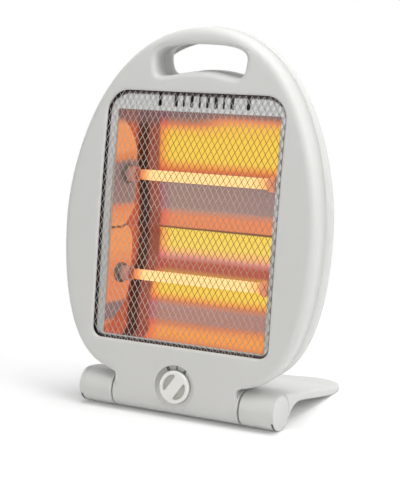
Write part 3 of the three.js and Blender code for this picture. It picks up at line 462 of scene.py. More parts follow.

# %% [markdown]
# ### Sheets in the glow
# What a mirror shows depends on where it is seen from, and a trough this deep mixes many reflections of the
# tubes. Here the sheet's own polish is kept rather dull, and the bands of light that the photograph shows in
# it are painted over it as emission, by height with a colour ramp: yellow where a trough gathers the tube's
# light, orange towards the edges of such a band, and mauve where the sheet looks out into the room.
#
# Towards the left the bands stop, because there the sheet mirrors the end sheet instead of the tube. The
# vertices carry how far past that edge they lie, in millimetres, as past_edge. The bands turn redder near it,
# and left of it a short ramp paints the reflection of the end sheet with its dark gap. Only the side that
# faces the window gives light, so nothing glows through the sheet's rear.

# %% Sheets in the glow
# Colours of the painted reflections in the sheets; the dark brown band is painted shade along the ridge.
EMBER = "#E5834A"
ORANGE = "#FBA050"
CORAL = "#DF855D"
DUSTY_MAUVE = "#AD7D75"
AMBER = "#FCAD49"
YELLOW = "#FFD54C"
DEEP_RED = "#B34E3D"
ROSE = "#E8968A"
PEACH = "#FFC07A"
BRIGHT_YELLOW = "#FFDD60"
FOLD_SHADE = "#583830"
SALMON = "#F08B5B"
MAUVE = "#9A7D77"
GREY_MAUVE = "#8C7474"
FIRE = "#E8733F"
GOLD = "#FFC452"
APRICOT = "#FC9E5F"
DARK_MAUVE = "#946A62"
DUSK = "#786267"
TROUGH_BANDS = [
    (72.8, EMBER),
    (76.0, ORANGE),
    (80.0, ORANGE),
    (84.0, CORAL),
    (87.0, DUSTY_MAUVE),
    (98.0, DUSTY_MAUVE),
    (102.0, CORAL),
    (106.0, AMBER),
    (111.0, YELLOW),
    (122.0, YELLOW),
    (134.0, DEEP_RED),
    (141.0, DEEP_RED),
    (146.0, ROSE),
    (150.0, PEACH),
    (157.0, BRIGHT_YELLOW),
    (174.6, BRIGHT_YELLOW),
    (175.4, FOLD_SHADE),
    (176.6, FOLD_SHADE),
    (177.4, SALMON),
    (187.0, SALMON),
    (193.0, MAUVE),
    (206.0, MAUVE),
    (226.0, GREY_MAUVE),
    (231.0, FIRE),
    (236.0, AMBER),
    (241.0, YELLOW),
    (262.0, YELLOW),
    (271.0, GOLD),
    (277.0, SALMON),
    (282.0, DARK_MAUVE),
    (286.0, DUSK),
]
END_BANDS = [
    (72.8, EMBER),
    (79.0, EMBER),
    (84.0, GREY_MAUVE),
    (98.0, GREY_MAUVE),
    (101.0, SALMON),
    (118.0, SALMON),
    (136.0, SALMON),
    (151.0, APRICOT),
    (172.6, APRICOT),
    (173.4, FOLD_SHADE),
    (174.4, FOLD_SHADE),
    (175.2, APRICOT),
    (193.0, SALMON),
    (198.0, MAUVE),
    (236.0, GREY_MAUVE),
    (240.0, EMBER),
    (250.0, APRICOT),
    (274.0, APRICOT),
    (281.0, DARK_MAUVE),
    (285.0, DUSK),
]
# The painted reflection of the end sheet and its dark gap, left of the glow's edge.
EDGE_STOPS = [
    (-29.0, "#C25A3C"),
    (-25.5, "#A84A34"),
    (-23.5, "#2C1B19"),
    (-13.5, "#2A1A18"),
    (-11.5, "#8A4034"),
    (-1.0, "#98483A"),
]
DULL_SHEET = "#4C403C"
# Painted shade high in the upper trough.
TOP_SHADE = "#6C575C"
REDDENING = (1.0, 0.5, 0.8, 1.0)
GLOW_STRENGTH = 0.9
WAVE_STRETCH = (0.12, 1.0, 1.0)
WANDER_MM = 2.5
FACES_WINDOW = -0.02
RISE_FROM_X, RISE_TO_X, RISE_MM = -12, 34, 7
RISE_FROM_Z, RISE_FULL_Z = 262, 276
DUSK_FROM_Z, DUSK_FULL_Z = 270, 282


def lit_sheet(name, bands, roughness, fades=False):
    """Rolled sheet with painted bands of gathered light, by height, on the side that faces the window.

    Where it fades, the bands lie up to 7 mm higher at the right, high in the upper trough, and stop at the
    edge that past_edge measures from.
    """
    material, tree, place, output = new_material(name)
    split = add_node(tree, "ShaderNodeSeparateXYZ", {"Vector": place}).outputs
    lines = add_node(
        tree,
        "ShaderNodeMapping",
        {"Vector": place, "Scale": WAVE_STRETCH},
    )
    waves = add_node(
        tree,
        "ShaderNodeTexNoise",
        {"Vector": lines.outputs[0], "Scale": 70.0, "Detail": 2.0},
    )
    wander = add_node(
        tree,
        "ShaderNodeMapRange",
        {"Value": waves.outputs["Fac"], "To Min": -WANDER_MM * MM, "To Max": WANDER_MM * MM},
    )
    height = add_node(tree, "ShaderNodeMath", {0: split["Z"], 1: wander.outputs["Result"]}, operation="ADD")
    if fades:
        shift = add_node(
            tree,
            "ShaderNodeMapRange",
            {
                "Value": split["X"],
                "From Min": RISE_FROM_X * MM,
                "From Max": RISE_TO_X * MM,
                "To Max": -RISE_MM * MM,
            },
            interpolation_type="SMOOTHSTEP",
        )
        top = add_node(
            tree,
            "ShaderNodeMapRange",
            {"Value": split["Z"], "From Min": RISE_FROM_Z * MM, "From Max": RISE_FULL_Z * MM},
            interpolation_type="SMOOTHSTEP",
        )
        lean = add_node(
            tree,
            "ShaderNodeMath",
            {0: shift.outputs["Result"], 1: top.outputs["Result"]},
            operation="MULTIPLY",
        )
        height = add_node(tree, "ShaderNodeMath", {0: height.outputs[0], 1: lean.outputs[0]}, operation="ADD")
    glow_colour = ramp_along(tree, height.outputs[0], bands)
    if fades:
        near = add_node(tree, "ShaderNodeAttribute", attribute_name="past_edge")
        past = add_node(tree, "ShaderNodeMath", {0: near.outputs["Fac"], 1: MM}, operation="MULTIPLY")
        before = ramp_along(tree, past.outputs[0], EDGE_STOPS)
        high = add_node(
            tree,
            "ShaderNodeMapRange",
            {
                "Value": split["Z"],
                "From Min": DUSK_FROM_Z * MM,
                "From Max": DUSK_FULL_Z * MM,
                "To Max": 0.85,
            },
            interpolation_type="SMOOTHSTEP",
        )
        dim = add_node(
            tree,
            "ShaderNodeMix",
            {"Factor": high.outputs["Result"], "A": before, "B": linear(TOP_SHADE)},
            data_type="RGBA",
        )
        inner = add_node(
            tree,
            "ShaderNodeMapRange",
            {"Value": near.outputs["Fac"], "From Min": -1.5, "From Max": 2.5},
            interpolation_type="SMOOTHSTEP",
        )
        redder = add_node(
            tree,
            "ShaderNodeMapRange",
            {"Value": near.outputs["Fac"], "From Min": 14.0, "From Max": 1.0, "To Max": 0.9},
            interpolation_type="SMOOTHSTEP",
        )
        warm = add_node(
            tree,
            "ShaderNodeMix",
            {"Factor": redder.outputs["Result"], "A": glow_colour, "B": REDDENING},
            data_type="RGBA",
            blend_type="MULTIPLY",
        )
        meet = add_node(
            tree,
            "ShaderNodeMix",
            {"Factor": inner.outputs["Result"], "A": dim.outputs["Result"], "B": warm.outputs["Result"]},
            data_type="RGBA",
        )
        glow_colour = meet.outputs["Result"]
    polish = add_node(
        tree,
        "ShaderNodeMapRange",
        {"Value": waves.outputs["Fac"], "To Min": roughness - 0.05, "To Max": roughness + 0.05},
    )
    metal = add_node(
        tree,
        "ShaderNodeBsdfPrincipled",
        {
            "Base Color": linear(DULL_SHEET),
            "Metallic": 1.0,
            "Roughness": polish.outputs["Result"],
        },
    )
    turned = add_node(
        tree,
        "ShaderNodeVectorTransform",
        {"Vector": add_node(tree, "ShaderNodeNewGeometry").outputs["True Normal"]},
        vector_type="NORMAL",
        convert_from="WORLD",
        convert_to="OBJECT",
    )
    facing = add_node(tree, "ShaderNodeSeparateXYZ", {"Vector": turned.outputs[0]}).outputs["Y"]
    front = add_node(tree, "ShaderNodeMath", {0: facing, 1: FACES_WINDOW}, operation="LESS_THAN")
    power = add_node(tree, "ShaderNodeMath", {0: front.outputs[0], 1: GLOW_STRENGTH}, operation="MULTIPLY")
    light = add_node(tree, "ShaderNodeEmission", {"Color": glow_colour, "Strength": power.outputs[0]})
    both = add_node(tree, "ShaderNodeAddShader", {0: metal.outputs[0], 1: light.outputs[0]})
    tree.links.new(both.outputs[0], output.inputs["Surface"])
    return material


lit_trough = lit_sheet("rolled_aluminium_in_glow", TROUGH_BANDS, 0.42, fades=True)
lit_end = lit_sheet("end_sheet_in_glow", END_BANDS, 0.45)
print("glow ramps of", len(TROUGH_BANDS), "and", len(END_BANDS), "stops")

# %% [markdown]
# ## The housing's curves
# Seen from the front, the housing is an egg drawn with two curves a side. Seen from the side, its face leans
# back and bows a little, following a cubic, and its back is nearly straight. Everything on the face uses
# the same cubic, so it all stays flush.

# %% Curves
FACE_FOOT_Y, FACE_CROWN_Y = -8.0, 55.0
FOOT_SLOPE, CROWN_SLOPE = 0.15, 0.3
BACK_FOOT_Y, BACK_SLOPE = 48.6, 0.117
JOINT_SLOPE = 0.179
JOINT_TURN = math.degrees(math.atan2(1, JOINT_SLOPE))
HALF_GAP = 0.15
TANGENT_TURN = math.degrees(math.atan(0.148))
TANGENT_Z = AXIS_Z + BARREL_RADIUS * math.sin(math.radians(TANGENT_TURN))
TOP_CORNER, FOOT_CORNER = 22.0, 10.0
GRIP_HALF, GRIP_FOOT_HALF = 49.0, 41.0
GRIP_TOP, GRIP_SIDE_Z, GRIP_FOOT, GRIP_SWELL = 354.7, 341.0, 324.0, 328.8


def face_y(z):
    """Depth of the face at a height."""
    z = np.asarray(z, float)
    rise = CROWN_Z - AXIS_Z
    u = (z - AXIS_Z) / rise
    foot = FACE_FOOT_Y * (1 - 3 * u**2 + 2 * u**3)
    crown = FACE_CROWN_Y * (3 * u**2 - 2 * u**3)
    lean = FOOT_SLOPE * (u - 2 * u**2 + u**3) + CROWN_SLOPE * (u**3 - u**2)
    return foot + crown + rise * lean


def back_y(z):
    """Depth of the back's edge at a height."""
    return BACK_FOOT_Y + BACK_SLOPE * np.asarray(z, float)


def front_y(z):
    """The face, and below it the front of the hinge barrel that it flows into."""
    below = np.minimum(np.asarray(z, float), TANGENT_Z) - AXIS_Z
    barrel = AXIS_Y - np.sqrt(np.maximum(BARREL_RADIUS**2 - below**2, 0.0))
    return np.where(np.asarray(z) >= TANGENT_Z, face_y(z), barrel)


def part_y(z):
    """The joint between the two shells."""
    return AXIS_Y + JOINT_SLOPE * (np.asarray(z, float) - AXIS_Z)


def bezier(a, b, c, d, steps):
    """Points along a cubic curve from a to d, drawn towards b and c."""
    t = np.linspace(0, 1, steps + 1)[:, None]
    a, b, c, d = (np.array(p, float) for p in (a, b, c, d))
    return a * (1 - t) ** 3 + 3 * b * t * (1 - t) ** 2 + 3 * c * t**2 * (1 - t) + d * t**3


def arc(centre, radius, start, end, steps):
    """Points along a circle, between two angles in degrees."""
    turn = np.radians(np.linspace(start, end, steps + 1))
    return np.array(centre, float) + radius * np.stack([np.cos(turn), np.sin(turn)], 1)


def mirrored(half):
    """The right half of an outline, from top to bottom, as a whole clockwise ring."""
    half = np.array(half, float)
    return np.vstack([half, half[1:-1][::-1] * [-1, 1]])


def edge_normals(ring):
    """For each point of a ring, the unit normal of the edge that starts there."""
    ahead = np.roll(ring, -1, axis=0) - ring
    normal = np.stack([-ahead[:, 1], ahead[:, 0]], 1)
    return normal / np.linalg.norm(normal, axis=1)[:, None]


def inset(ring, distance):
    """Moves each point of a clockwise ring inwards, by one distance or by its own."""
    after = edge_normals(ring)
    before = np.roll(after, 1, axis=0)
    share = np.asarray(distance, float) / (1 + (before * after).sum(1))
    return ring - (before + after) * share[:, None]


def housing_half():
    """The egg's right half: a shoulder from the crown to the waist, and a hip down to the neck."""
    shoulder = bezier((0, CROWN_Z), (108, CROWN_Z), (HALF_WIDTH, 238.2), (HALF_WIDTH, WAIST_Z), 44)
    hip = bezier((HALF_WIDTH, WAIST_Z), (HALF_WIDTH, 114.5), (122.2, 41.7), (70, 38.75), 30)[1:]
    return np.vstack([shoulder, hip])


def neck_half():
    """From the hip round a small fillet down the neck to the barrel."""
    fillet = [(67.9, 38.2), (66.8, 37.2), (66.2, 35.6)]
    return fillet + [(NECK_HALF, 33.5), (NECK_HALF, 27), (NECK_HALF, TANGENT_Z)]


def window_ring():
    """The window's outline, with larger corners at its top."""
    top = [(x, WINDOW_TOP) for x in (0, 14, 28, 42, 56, 66)]
    corner = arc((WINDOW_HALF - TOP_CORNER, WINDOW_TOP - TOP_CORNER), TOP_CORNER, 90, 0, 14)
    side = [(WINDOW_HALF, z) for z in np.linspace(WINDOW_TOP - 34, WINDOW_FOOT + 22, 18)]
    foot = arc((WINDOW_HALF - FOOT_CORNER, WINDOW_FOOT + FOOT_CORNER), FOOT_CORNER, 0, -90, 9)
    across = [(x, WINDOW_FOOT) for x in (72, 54, 36, 18, 0)]
    return mirrored(np.vstack([top, corner, side, foot, across]))


def grip_ring():
    """The handle hole's outline: flat above, and swelling up in the middle below."""
    side, corner = (GRIP_HALF, GRIP_SIDE_Z), (GRIP_FOOT_HALF, GRIP_FOOT)
    arch = bezier((0, GRIP_TOP), (26.5, GRIP_TOP), (GRIP_HALF, 352.7), side, 16)
    end = bezier(side, (GRIP_HALF, 330), (47, GRIP_FOOT), corner, 8)[1:]
    floor = bezier(corner, (29, GRIP_FOOT), (20.5, GRIP_SWELL), (0, GRIP_SWELL), 10)[1:]
    return mirrored(np.vstack([arch, end, floor]))


print("face leans from", face_y(TANGENT_Z).round(2), "to", face_y(CROWN_Z).round(2), "mm")

# %% [markdown]
# ## Building a moulded skin
# A moulding is a flat-ish face with holes, and walls that turn away from its edges. The face is filled with
# triangles by a constrained Delaunay triangulation, which keeps every outline exactly, and then lifted to its
# depth. The walls are rings joined one to the next. Where two patches meet they share their points, so after
# merging the doubles the skin is whole, and Solidify gives it its wall thickness.

# %% Skin helper
QUARTER = np.radians([0, 11, 22, 34, 45, 56, 67, 79, 90])
MERGE_M = 2e-6


def inside_of(ring, points):
    """Which of the points lie inside a closed ring."""
    x, y = points[:, :1], points[:, 1:]
    x0, y0 = ring[:, 0], ring[:, 1]
    x1, y1 = np.roll(x0, -1), np.roll(y0, -1)
    level = np.where(y1 == y0, 1.0, y1 - y0)
    crosses = ((y0 > y) != (y1 > y)) & (x < (x1 - x0) * (y - y0) / level + x0)
    return crosses.sum(1) % 2 == 1


def distance_to(ring, points):
    """How far each point is from a ring's nearest edge."""
    start = ring[None]
    along = (np.roll(ring, -1, axis=0) - ring)[None]
    away = points[:, None] - start
    share = np.clip((away * along).sum(2) / (along**2).sum(2), 0, 1)
    return np.linalg.norm(away - along * share[..., None], axis=2).min(1)


class Skin:
    """Patches of surface, in millimetres, that end up as one piece."""

    def __init__(self):
        self.points, self.faces = [], []

    def add(self, points, faces):
        """Adds a patch, whose faces count its own points from 0."""
        start = len(self.points)
        self.points.extend(np.array(points, float).reshape(-1, 3).tolist())
        self.faces.extend([[start + i for i in face] for face in faces])

    def rings(self, rings, close_first=False, close_last=False, around=True):
        """Joins rings of equal counts of points one to the next."""
        count = len(rings[0])
        faces = []
        for r in range(len(rings) - 1):
            for i in range(count if around else count - 1):
                a, b = r * count + i, r * count + (i + 1) % count
                faces.append([a, b, b + count, a + count])
        if close_first:
            faces.append(list(range(count))[::-1])
        if close_last:
            faces.append([(len(rings) - 1) * count + i for i in range(count)])
        self.add(np.vstack(rings), faces)

    def filled(self, outline, holes, depth, spacing):
        """Fills an outline, less its holes, with triangles, and lifts them to their depth."""
        low, high = outline.min(0), outline.max(0)
        columns = np.arange(low[0], high[0], spacing)
        rows = np.arange(low[1], high[1], spacing * 0.87)
        inner = np.array([(x + (k % 2) * spacing / 2, z) for k, z in enumerate(rows) for x in columns])
        inner = inner[inside_of(outline, inner)]
        inner = inner[distance_to(outline, inner) > spacing * 0.4]
        for hole in holes:
            inner = inner[~inside_of(hole, inner)]
            inner = inner[distance_to(hole, inner) > spacing * 0.3]
        loops = [outline, *holes]
        edges, start = [], 0
        for loop in loops:
            edges += [(start + i, start + (i + 1) % len(loop)) for i in range(len(loop))]
            start += len(loop)
        flat = np.vstack([*loops, inner])
        made = delaunay_2d_cdt([Vector(p) for p in flat], edges, [], 0, 1e-6)
        points = np.array([tuple(p) for p in made[0]])
        faces = np.array([list(f) for f in made[2] if len(f) == 3])
        middle = points[faces].mean(1)
        keep = inside_of(outline, middle)
        for hole in holes:
            keep &= ~inside_of(hole, middle)
        self.add(np.stack([points[:, 0], depth(points), points[:, 1]], 1), faces[keep])

    def mesh(self, name, merge=True):
        """A mesh of the patches, merged where they meet, with its faces turned outwards."""
        mesh = bpy.data.meshes.new(name)
        mesh.from_pydata(metres(self.points).tolist(), [], self.faces)
        turned = bmesh.new()
        turned.from_mesh(mesh)
        if merge:
            bmesh.ops.remove_doubles(turned, verts=turned.verts, dist=MERGE_M)
        bmesh.ops.recalc_face_normals(turned, faces=turned.faces)
        turned.to_mesh(mesh)
        turned.free()
        return mesh

    def finish(self, name, body, slot, nodes, material, wall_mm=0.0, crease=32):
        """Makes the patches one piece of the frame, with a wall inwards of its skin if one is asked for."""
        made = new_object(name, self.mesh(name))
        if wall_mm:
            give_wall(made, wall_mm, -1.0)
        return dress(made, body, nodes, material, crease)


def give_wall(piece, wall_mm, offset=0.0):
    """Thickens a skin, half to each side; an offset of -1 puts the whole wall behind it."""
    wall = piece.modifiers.new("wall", "SOLIDIFY")
    wall.thickness = wall_mm * MM
    wall.offset = offset


def dress(made, body, nodes, material, crease=32):
    """Gives a piece its material, smooth shading with creases and its body, and hides the CAD nodes that it
    stands for.
    """
    mesh = made.data
    mesh.materials.clear()
    mesh.materials.append(material)
    mesh.shade_smooth()
    mesh.set_sharp_from_angle(angle=math.radians(crease))
    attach(made, body)
    if nodes:
        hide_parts(*nodes)
    print(made.name, "has", len(mesh.polygons), "faces")
    return made


def places_of(piece):
    """The vertices of a piece, in millimetres of the frame."""
    return np.array([tuple(vertex.co) for vertex in piece.data.vertices]) / MM


def carry(piece, name, values):
    """Gives each vertex of a piece a number that its material can read."""
    measure = piece.data.attributes.new(name, "FLOAT", "POINT")
    measure.data.foreach_set("value", np.array(values, np.float32))


def upright(ring, depth):
    """A ring of the front view at its depth."""
    return np.stack([ring[:, 0], np.broadcast_to(depth, len(ring)), ring[:, 1]], 1)


def flared(ring, radius):
    """The rings of a hole's edge as it rounds over, and how deep each of them lies."""
    rings = [inset(ring, -radius * (1 - math.sin(a))) for a in QUARTER]
    return rings, [radius * (1 - math.cos(a)) for a in QUARTER]


# %% [markdown]
# ## Front shell
# One moulding carries the window, the handle hole, the dish of the dial and the front half of the hinge
# barrel. Its rim is rounded at 8 mm, and the rounding runs out where the face flows down into the barrel.
# The dish stands square to the face at the dial, so it is drawn in a frame of its own, whose z points out.

# %% The dial's frame and dish
GRIP = grip_ring()
WINDOW = window_ring()

dial_slope = float(face_y(DIAL_Z + 1) - face_y(DIAL_Z - 1)) / 2
dial_turn = Matrix.Rotation(math.pi / 2 - math.atan(dial_slope), 4, "X")
dial_frame = Matrix.Translation((0, float(face_y(DIAL_Z)), DIAL_Z)) @ dial_turn


def on_dial(points):
    """Points of the dial's own frame, whose z stands out of the face, in the drawing."""
    return np.array([tuple(dial_frame @ Vector(p)) for p in points])


def seen_from_dial(piece):
    """The vertices of a finished piece as points of the dial's own frame."""
    back = (Matrix.Translation((0, depth_shift, 0)) @ dial_frame).inverted()
    return [back @ (vertex.co / MM) for vertex in piece.data.vertices]


def dial_circle(radius, height, sides=72):
    """A circle about the dial's axis, as points of its own frame."""
    turn = np.linspace(0, 2 * math.pi, sides, endpoint=False)
    return [(radius * math.sin(t), radius * math.cos(t), height) for t in turn]


DIAL_DISH = [(21.7, 0.0), (21.35, -0.12), (21.1, -0.45), (20.95, -1.7), (20.6, -2.1)]
DIAL_DISH += [(16.7, -3.2), (16.4, -3.6), (16.4, -5.9), (3.6, -5.9)]


def dish_ring(radius, height):
    """A circle of the dish, pressed under the barrel's front where that lies deeper than the circle."""
    ring = []
    for x, y, z in dial_circle(radius, 0.0):
        at = dial_frame @ Vector((x, y, 0.0))
        room = (at.y - float(front_y(at.z))) * math.cos(math.atan(dial_slope))
        ring.append((x, y, min(height, room - 0.5 + 0.5 * math.exp(5 * height))))
    return on_dial(ring)


def dish_shade(point):
    """How much shade is painted on a point of the dish: more at its upper left, as in the photograph."""
    radius = math.hypot(point.x, point.y)
    if radius >= 21.2 or point.z >= -0.3:
        return 0.0
    return 0.5 + 1.1 * max(0.0, (point.y - 0.6 * point.x) / max(radius, 1.0))


print("dial square to a face that leans by", round(math.degrees(math.atan(dial_slope)), 2), "degrees")

# %% Front shell
FRONT_ROUND = 8.0
GRIP_ROUND = 5.0
WINDOW_LIP, WINDOW_WALL = 2.4, 2.9
FRONT_WALL = 2.2
NECK_SHARE = 0.14
# The barrel's front belongs to the face, because the dial's dish runs down into it.
TAB_HALF = NECK_HALF - NECK_SHARE * FRONT_ROUND
TAB_TURNS = np.linspace(180 - TANGENT_TURN, 217, 11)


def barrel_point(turn):
    """Depth and height on the barrel, at an angle counted from straight back over the top."""
    turn = np.radians(turn)
    return AXIS_Y + BARREL_RADIUS * np.cos(turn), AXIS_Z + BARREL_RADIUS * np.sin(turn)


def barrel_part(skin, turns, stations):
    """Part of the barrel between angles; a station is its place along X and how far it is drawn in."""
    y, z = barrel_point(turns)
    rings = []
    for x, drawn_in in stations:
        share = 1 - drawn_in / BARREL_RADIUS
        depth, height = AXIS_Y + (y - AXIS_Y) * share, AXIS_Z + (z - AXIS_Z) * share
        rings.append(np.stack([np.full(len(y), x), depth, height], 1))
    skin.rings(rings, around=False)


def barrel_ends(skin, turns, inner_x):
    """Both ends of the barrel from a place along X outwards, with softly broken edges and end walls."""
    run = [(x, 0.0) for x in np.linspace(inner_x, BARREL_HALF - 0.8, 5)]
    edge = [(BARREL_HALF - 0.25, 0.2), (BARREL_HALF, 0.75), (BARREL_HALF, BARREL_RADIUS - 6.3)]
    for side in (-1, 1):
        barrel_part(skin, turns, [(side * x, drawn_in) for x, drawn_in in run + edge])


def front_rim():
    """The rings of the rim, from the face round to the joint; down the neck the rounding runs out."""
    half = np.vstack([housing_half(), neck_half()])
    strip = np.vstack([half[:0:-1] * [-1, 1], half])
    ring = np.vstack([strip, [(44, TANGENT_Z), (0, TANGENT_Z), (-44, TANGENT_Z)]])
    beyond = np.clip((np.abs(ring[:, 0]) - NECK_HALF) / (2 * FRONT_ROUND), 0, 1)
    growing = NECK_SHARE + (1 - NECK_SHARE) * beyond**2 * (3 - 2 * beyond)
    share = np.where(ring[:, 1] > WAIST_Z, 1.0, growing)
    share[len(strip) :] = 0.0
    rings = []
    for angle in QUARTER:
        turned = inset(ring, FRONT_ROUND * (1 - math.sin(angle)) * share)[: len(strip)]
        sink = FRONT_ROUND * (1 - math.cos(angle)) * share[: len(strip)]
        rings.append(upright(turned, face_y(turned[:, 1]) + sink))
    return rings + [upright(strip, part_y(strip[:, 1]) - HALF_GAP)]


def front_barrel(skin):
    """The front of the barrel beside the face's tab, and below it."""
    above = np.linspace(JOINT_TURN + 0.5, TAB_TURNS[0], 9)
    below = np.linspace(TAB_TURNS[-1], JOINT_TURN + 179.5, 7)
    barrel_ends(skin, np.concatenate([above, TAB_TURNS[1:-1], below]), TAB_HALF)
    barrel_part(skin, below, [(x, 0.0) for x in np.linspace(-TAB_HALF, TAB_HALF, 7)])


def front_shell():
    """The rim, the barrel, the walls of the three holes, and the face between them all."""
    skin = Skin()
    rim = front_rim()
    skin.rings(rim, around=False)
    front_barrel(skin)

    lips, sinks = flared(WINDOW, WINDOW_LIP)
    lip_rings = [upright(ring, face_y(ring[:, 1]) + sink) for ring, sink in zip(lips, sinks)]
    skin.rings(lip_rings + [upright(WINDOW, face_y(WINDOW[:, 1]) + WINDOW_WALL)])
    flares, sinks = flared(GRIP, GRIP_ROUND)
    sleeve = [upright(ring, face_y(ring[:, 1]) + sink) for ring, sink in zip(flares, sinks)]
    skin.rings(sleeve + [upright(GRIP, part_y(GRIP[:, 1]) - HALF_GAP)])
    dish = [dish_ring(radius, height) for radius, height in DIAL_DISH]
    edge = dish[0]
    edge[:, 1] = front_y(edge[:, 2])
    skin.rings(dish)

    tab_z = barrel_point(TAB_TURNS)[1]
    tab = np.stack([np.full(len(tab_z), TAB_HALF), tab_z], 1)[1:]
    face_edge = np.vstack([rim[0][:, [0, 2]], tab, tab[::-1] * [-1, 1]])
    holes = [lips[0], flares[0], edge[:, [0, 2]]]
    skin.filled(face_edge, holes, lambda p: front_y(p[:, 1]), 5.0)
    piece = skin.finish("front_housing", "housing", "housing", ["front_shell"], housing_abs, FRONT_WALL)
    # Painted shade on the dish, darker at its upper left.
    carry(piece, "painted_shade_mm", [dish_shade(point) for point in seen_from_dial(piece)])


front_shell()

# %% [markdown]
# ## Rear shell
# The back is slightly domed, with a deep rounded rim. Two banks of upright slots let the warm air out, six
# deep round wells lead to the screws, and one hole is the cord's inlet. All of them are holes in one
# triangulated face, with a short wall behind each.

# %% Rear shell
BACK_ROUND = 15.0
BACK_BULGE, BULGE_REACH = 5.0, 62
REAR_WALL = 2.0
SLOT_PITCH, SLOT_WIDTH, SLOT_HEIGHT = 15.0, 5.0, 44.0
SLOT_ROWS = (104.0, 262.0)
SLOT_LIP, SLOT_WALL = 0.7, 2.5
SCREWS = [(s * x, z) for x, z in ((72.08, 322.0), (116.0, 165.0), (60.0, 52.0)) for s in (-1, 1)]
WELL_RADIUS, WELL_BORE, WELL_LIP, WELL_SEAT = 4.2, 2.0, 0.6, 4.2
INLET = (30.0, 68.0)
INLET_RADIUS, INLET_BORE = 9.8, 6.8
NECK_BACK_Y = 24.0


def slot_ring(x, z, width, height):
    """An upright slot with round ends."""
    straight = (height - width) / 2
    top = arc((x, z + straight), width / 2, 180, 0, 8)
    foot = arc((x, z - straight), width / 2, 0, -180, 8)
    return np.vstack([top, foot])


def rear_rim():
    """The rings of the deep rim, from the joint round to the edge of the back."""
    under = [(67.9, 38.55)] + [(x, CHIN_Z) for x in (66, 50, 33, 16, 0)]
    ring = mirrored(np.vstack([housing_half(), under]))
    room = np.minimum(BACK_ROUND, 0.8 * (back_y(ring[:, 1]) - part_y(ring[:, 1])))
    rings = [upright(ring, part_y(ring[:, 1]) + HALF_GAP)]
    for angle in QUARTER:
        turned = inset(ring, BACK_ROUND * (1 - math.cos(angle)))
        depth = back_y(turned[:, 1]) - room * (1 - math.sin(angle))
        rings.append(upright(turned, depth))
    return rings


def shrunk_to(ring, centre, share):
    """A ring drawn in towards a centre."""
    return (ring - centre) * share + centre


def neck_sides(skin):
    """The short neck behind the joint, from the egg's underside down into the barrel."""
    heights = np.array([38.6, 36, 33, 28, 22])
    for side in (-1, 1):
        front = [(side * NECK_HALF, float(part_y(z)) + HALF_GAP, z) for z in heights]
        rear = [(side * NECK_HALF, NECK_BACK_Y, z) for z in heights]
        skin.rings([np.array(front), np.array(rear)], around=False)
    stations = np.linspace(-NECK_HALF, NECK_HALF, 9)
    across = [np.array([(x, NECK_BACK_Y, z) for z in heights]) for x in stations]
    skin.rings(across, around=False)


def rear_shell():
    """The rim, the walls of the holes, the domed back between them, the neck and the barrel."""
    skin = Skin()
    rim = rear_rim()
    skin.rings(rim)
    edge = rim[-1][:, [0, 2]]

    def domed(points):
        rise = np.clip(distance_to(edge, points) / BULGE_REACH, 0, 1)
        return back_y(points[:, 1]) + BACK_BULGE * (1 - (1 - rise) ** 2)

    flares, sinks = flared(GRIP, GRIP_ROUND)
    sleeve = [upright(ring, domed(flares[0]) - sink) for ring, sink in zip(flares, sinks)]
    skin.rings(sleeve + [upright(GRIP, part_y(GRIP[:, 1]) + HALF_GAP)])

    holes = [flares[0]]
    columns = [(i - 4) * SLOT_PITCH for i in range(9)]
    for slot in [slot_ring(x, z, SLOT_WIDTH, SLOT_HEIGHT) for z in SLOT_ROWS for x in columns]:
        lip = inset(slot, -SLOT_LIP)
        walls = [upright(slot, domed(slot) - behind) for behind in (SLOT_LIP, SLOT_WALL)]
        skin.rings([upright(lip, domed(lip))] + walls)
        holes.append(lip)
    for x, z in SCREWS:
        well = arc((x, z), WELL_RADIUS, 360, 0, 20)[:-1]
        lip = inset(well, -WELL_LIP)
        seat = float(part_y(z)) + WELL_SEAT
        bore = shrunk_to(well, np.array([x, z]), WELL_BORE / WELL_RADIUS)
        rings = [upright(lip, domed(lip)), upright(well, domed(well) - WELL_LIP)]
        skin.rings(rings + [upright(well, seat), upright(bore, seat)])
        holes.append(lip)
    inlet = arc(INLET, INLET_RADIUS, 360, 0, 32)[:-1]
    seat = float(back_y(INLET[1])) - 1.0
    bore = shrunk_to(inlet, np.array(INLET), INLET_BORE / INLET_RADIUS)
    skin.rings([upright(inlet, domed(inlet)), upright(inlet, seat), upright(bore, seat)])
    skin.filled(edge, holes + [inlet], domed, 8.0)
    neck_sides(skin)
    barrel_ends(skin, np.linspace(JOINT_TURN - 179.5, JOINT_TURN - 0.5, 49), 0.0)
    skin.finish("rear_housing", "housing", "housing", ["rear_shell"], housing_abs, REAR_WALL)


rear_shell()

# %% [markdown]
# ## Guard net
# The guard is expanded metal: a sheet that is slit and pulled until the slits open into diamonds. It follows
# a plain rule, which is what Geometry Nodes are for. Zigzag strands stand side by side, each the mirror image
# of the next, so that their bends meet; the strands get a flattened section, are bowed to the face's cubic
# and are cut off where the window's rounded corners would show them.

# %% Geometry Nodes helpers


def geometry_tree(name, sizes):
    """A Geometry Nodes tree with one named input for each size, and its group input node."""
    tree = bpy.data.node_groups.new(name, "GeometryNodeTree")
    for size in sizes:
        kind = "NodeSocketInt" if isinstance(sizes[size], int) else "NodeSocketFloat"
        tree.interface.new_socket(name=size, in_out="INPUT", socket_type=kind)
    tree.interface.new_socket(name="Geometry", in_out="OUTPUT", socket_type="NodeSocketGeometry")
    return tree, add_node(tree, "NodeGroupInput").outputs


def close_tree(tree, geometry, material):
    """Ends a tree as the export needs: real geometry, with its material."""
    real = add_node(tree, "GeometryNodeRealizeInstances", {"Geometry": geometry})
    painted = add_node(
        tree,
        "GeometryNodeSetMaterial",
        {"Geometry": real.outputs[0], "Material": material},
    )
    add_node(tree, "NodeGroupOutput", {"Geometry": painted.outputs[0]})


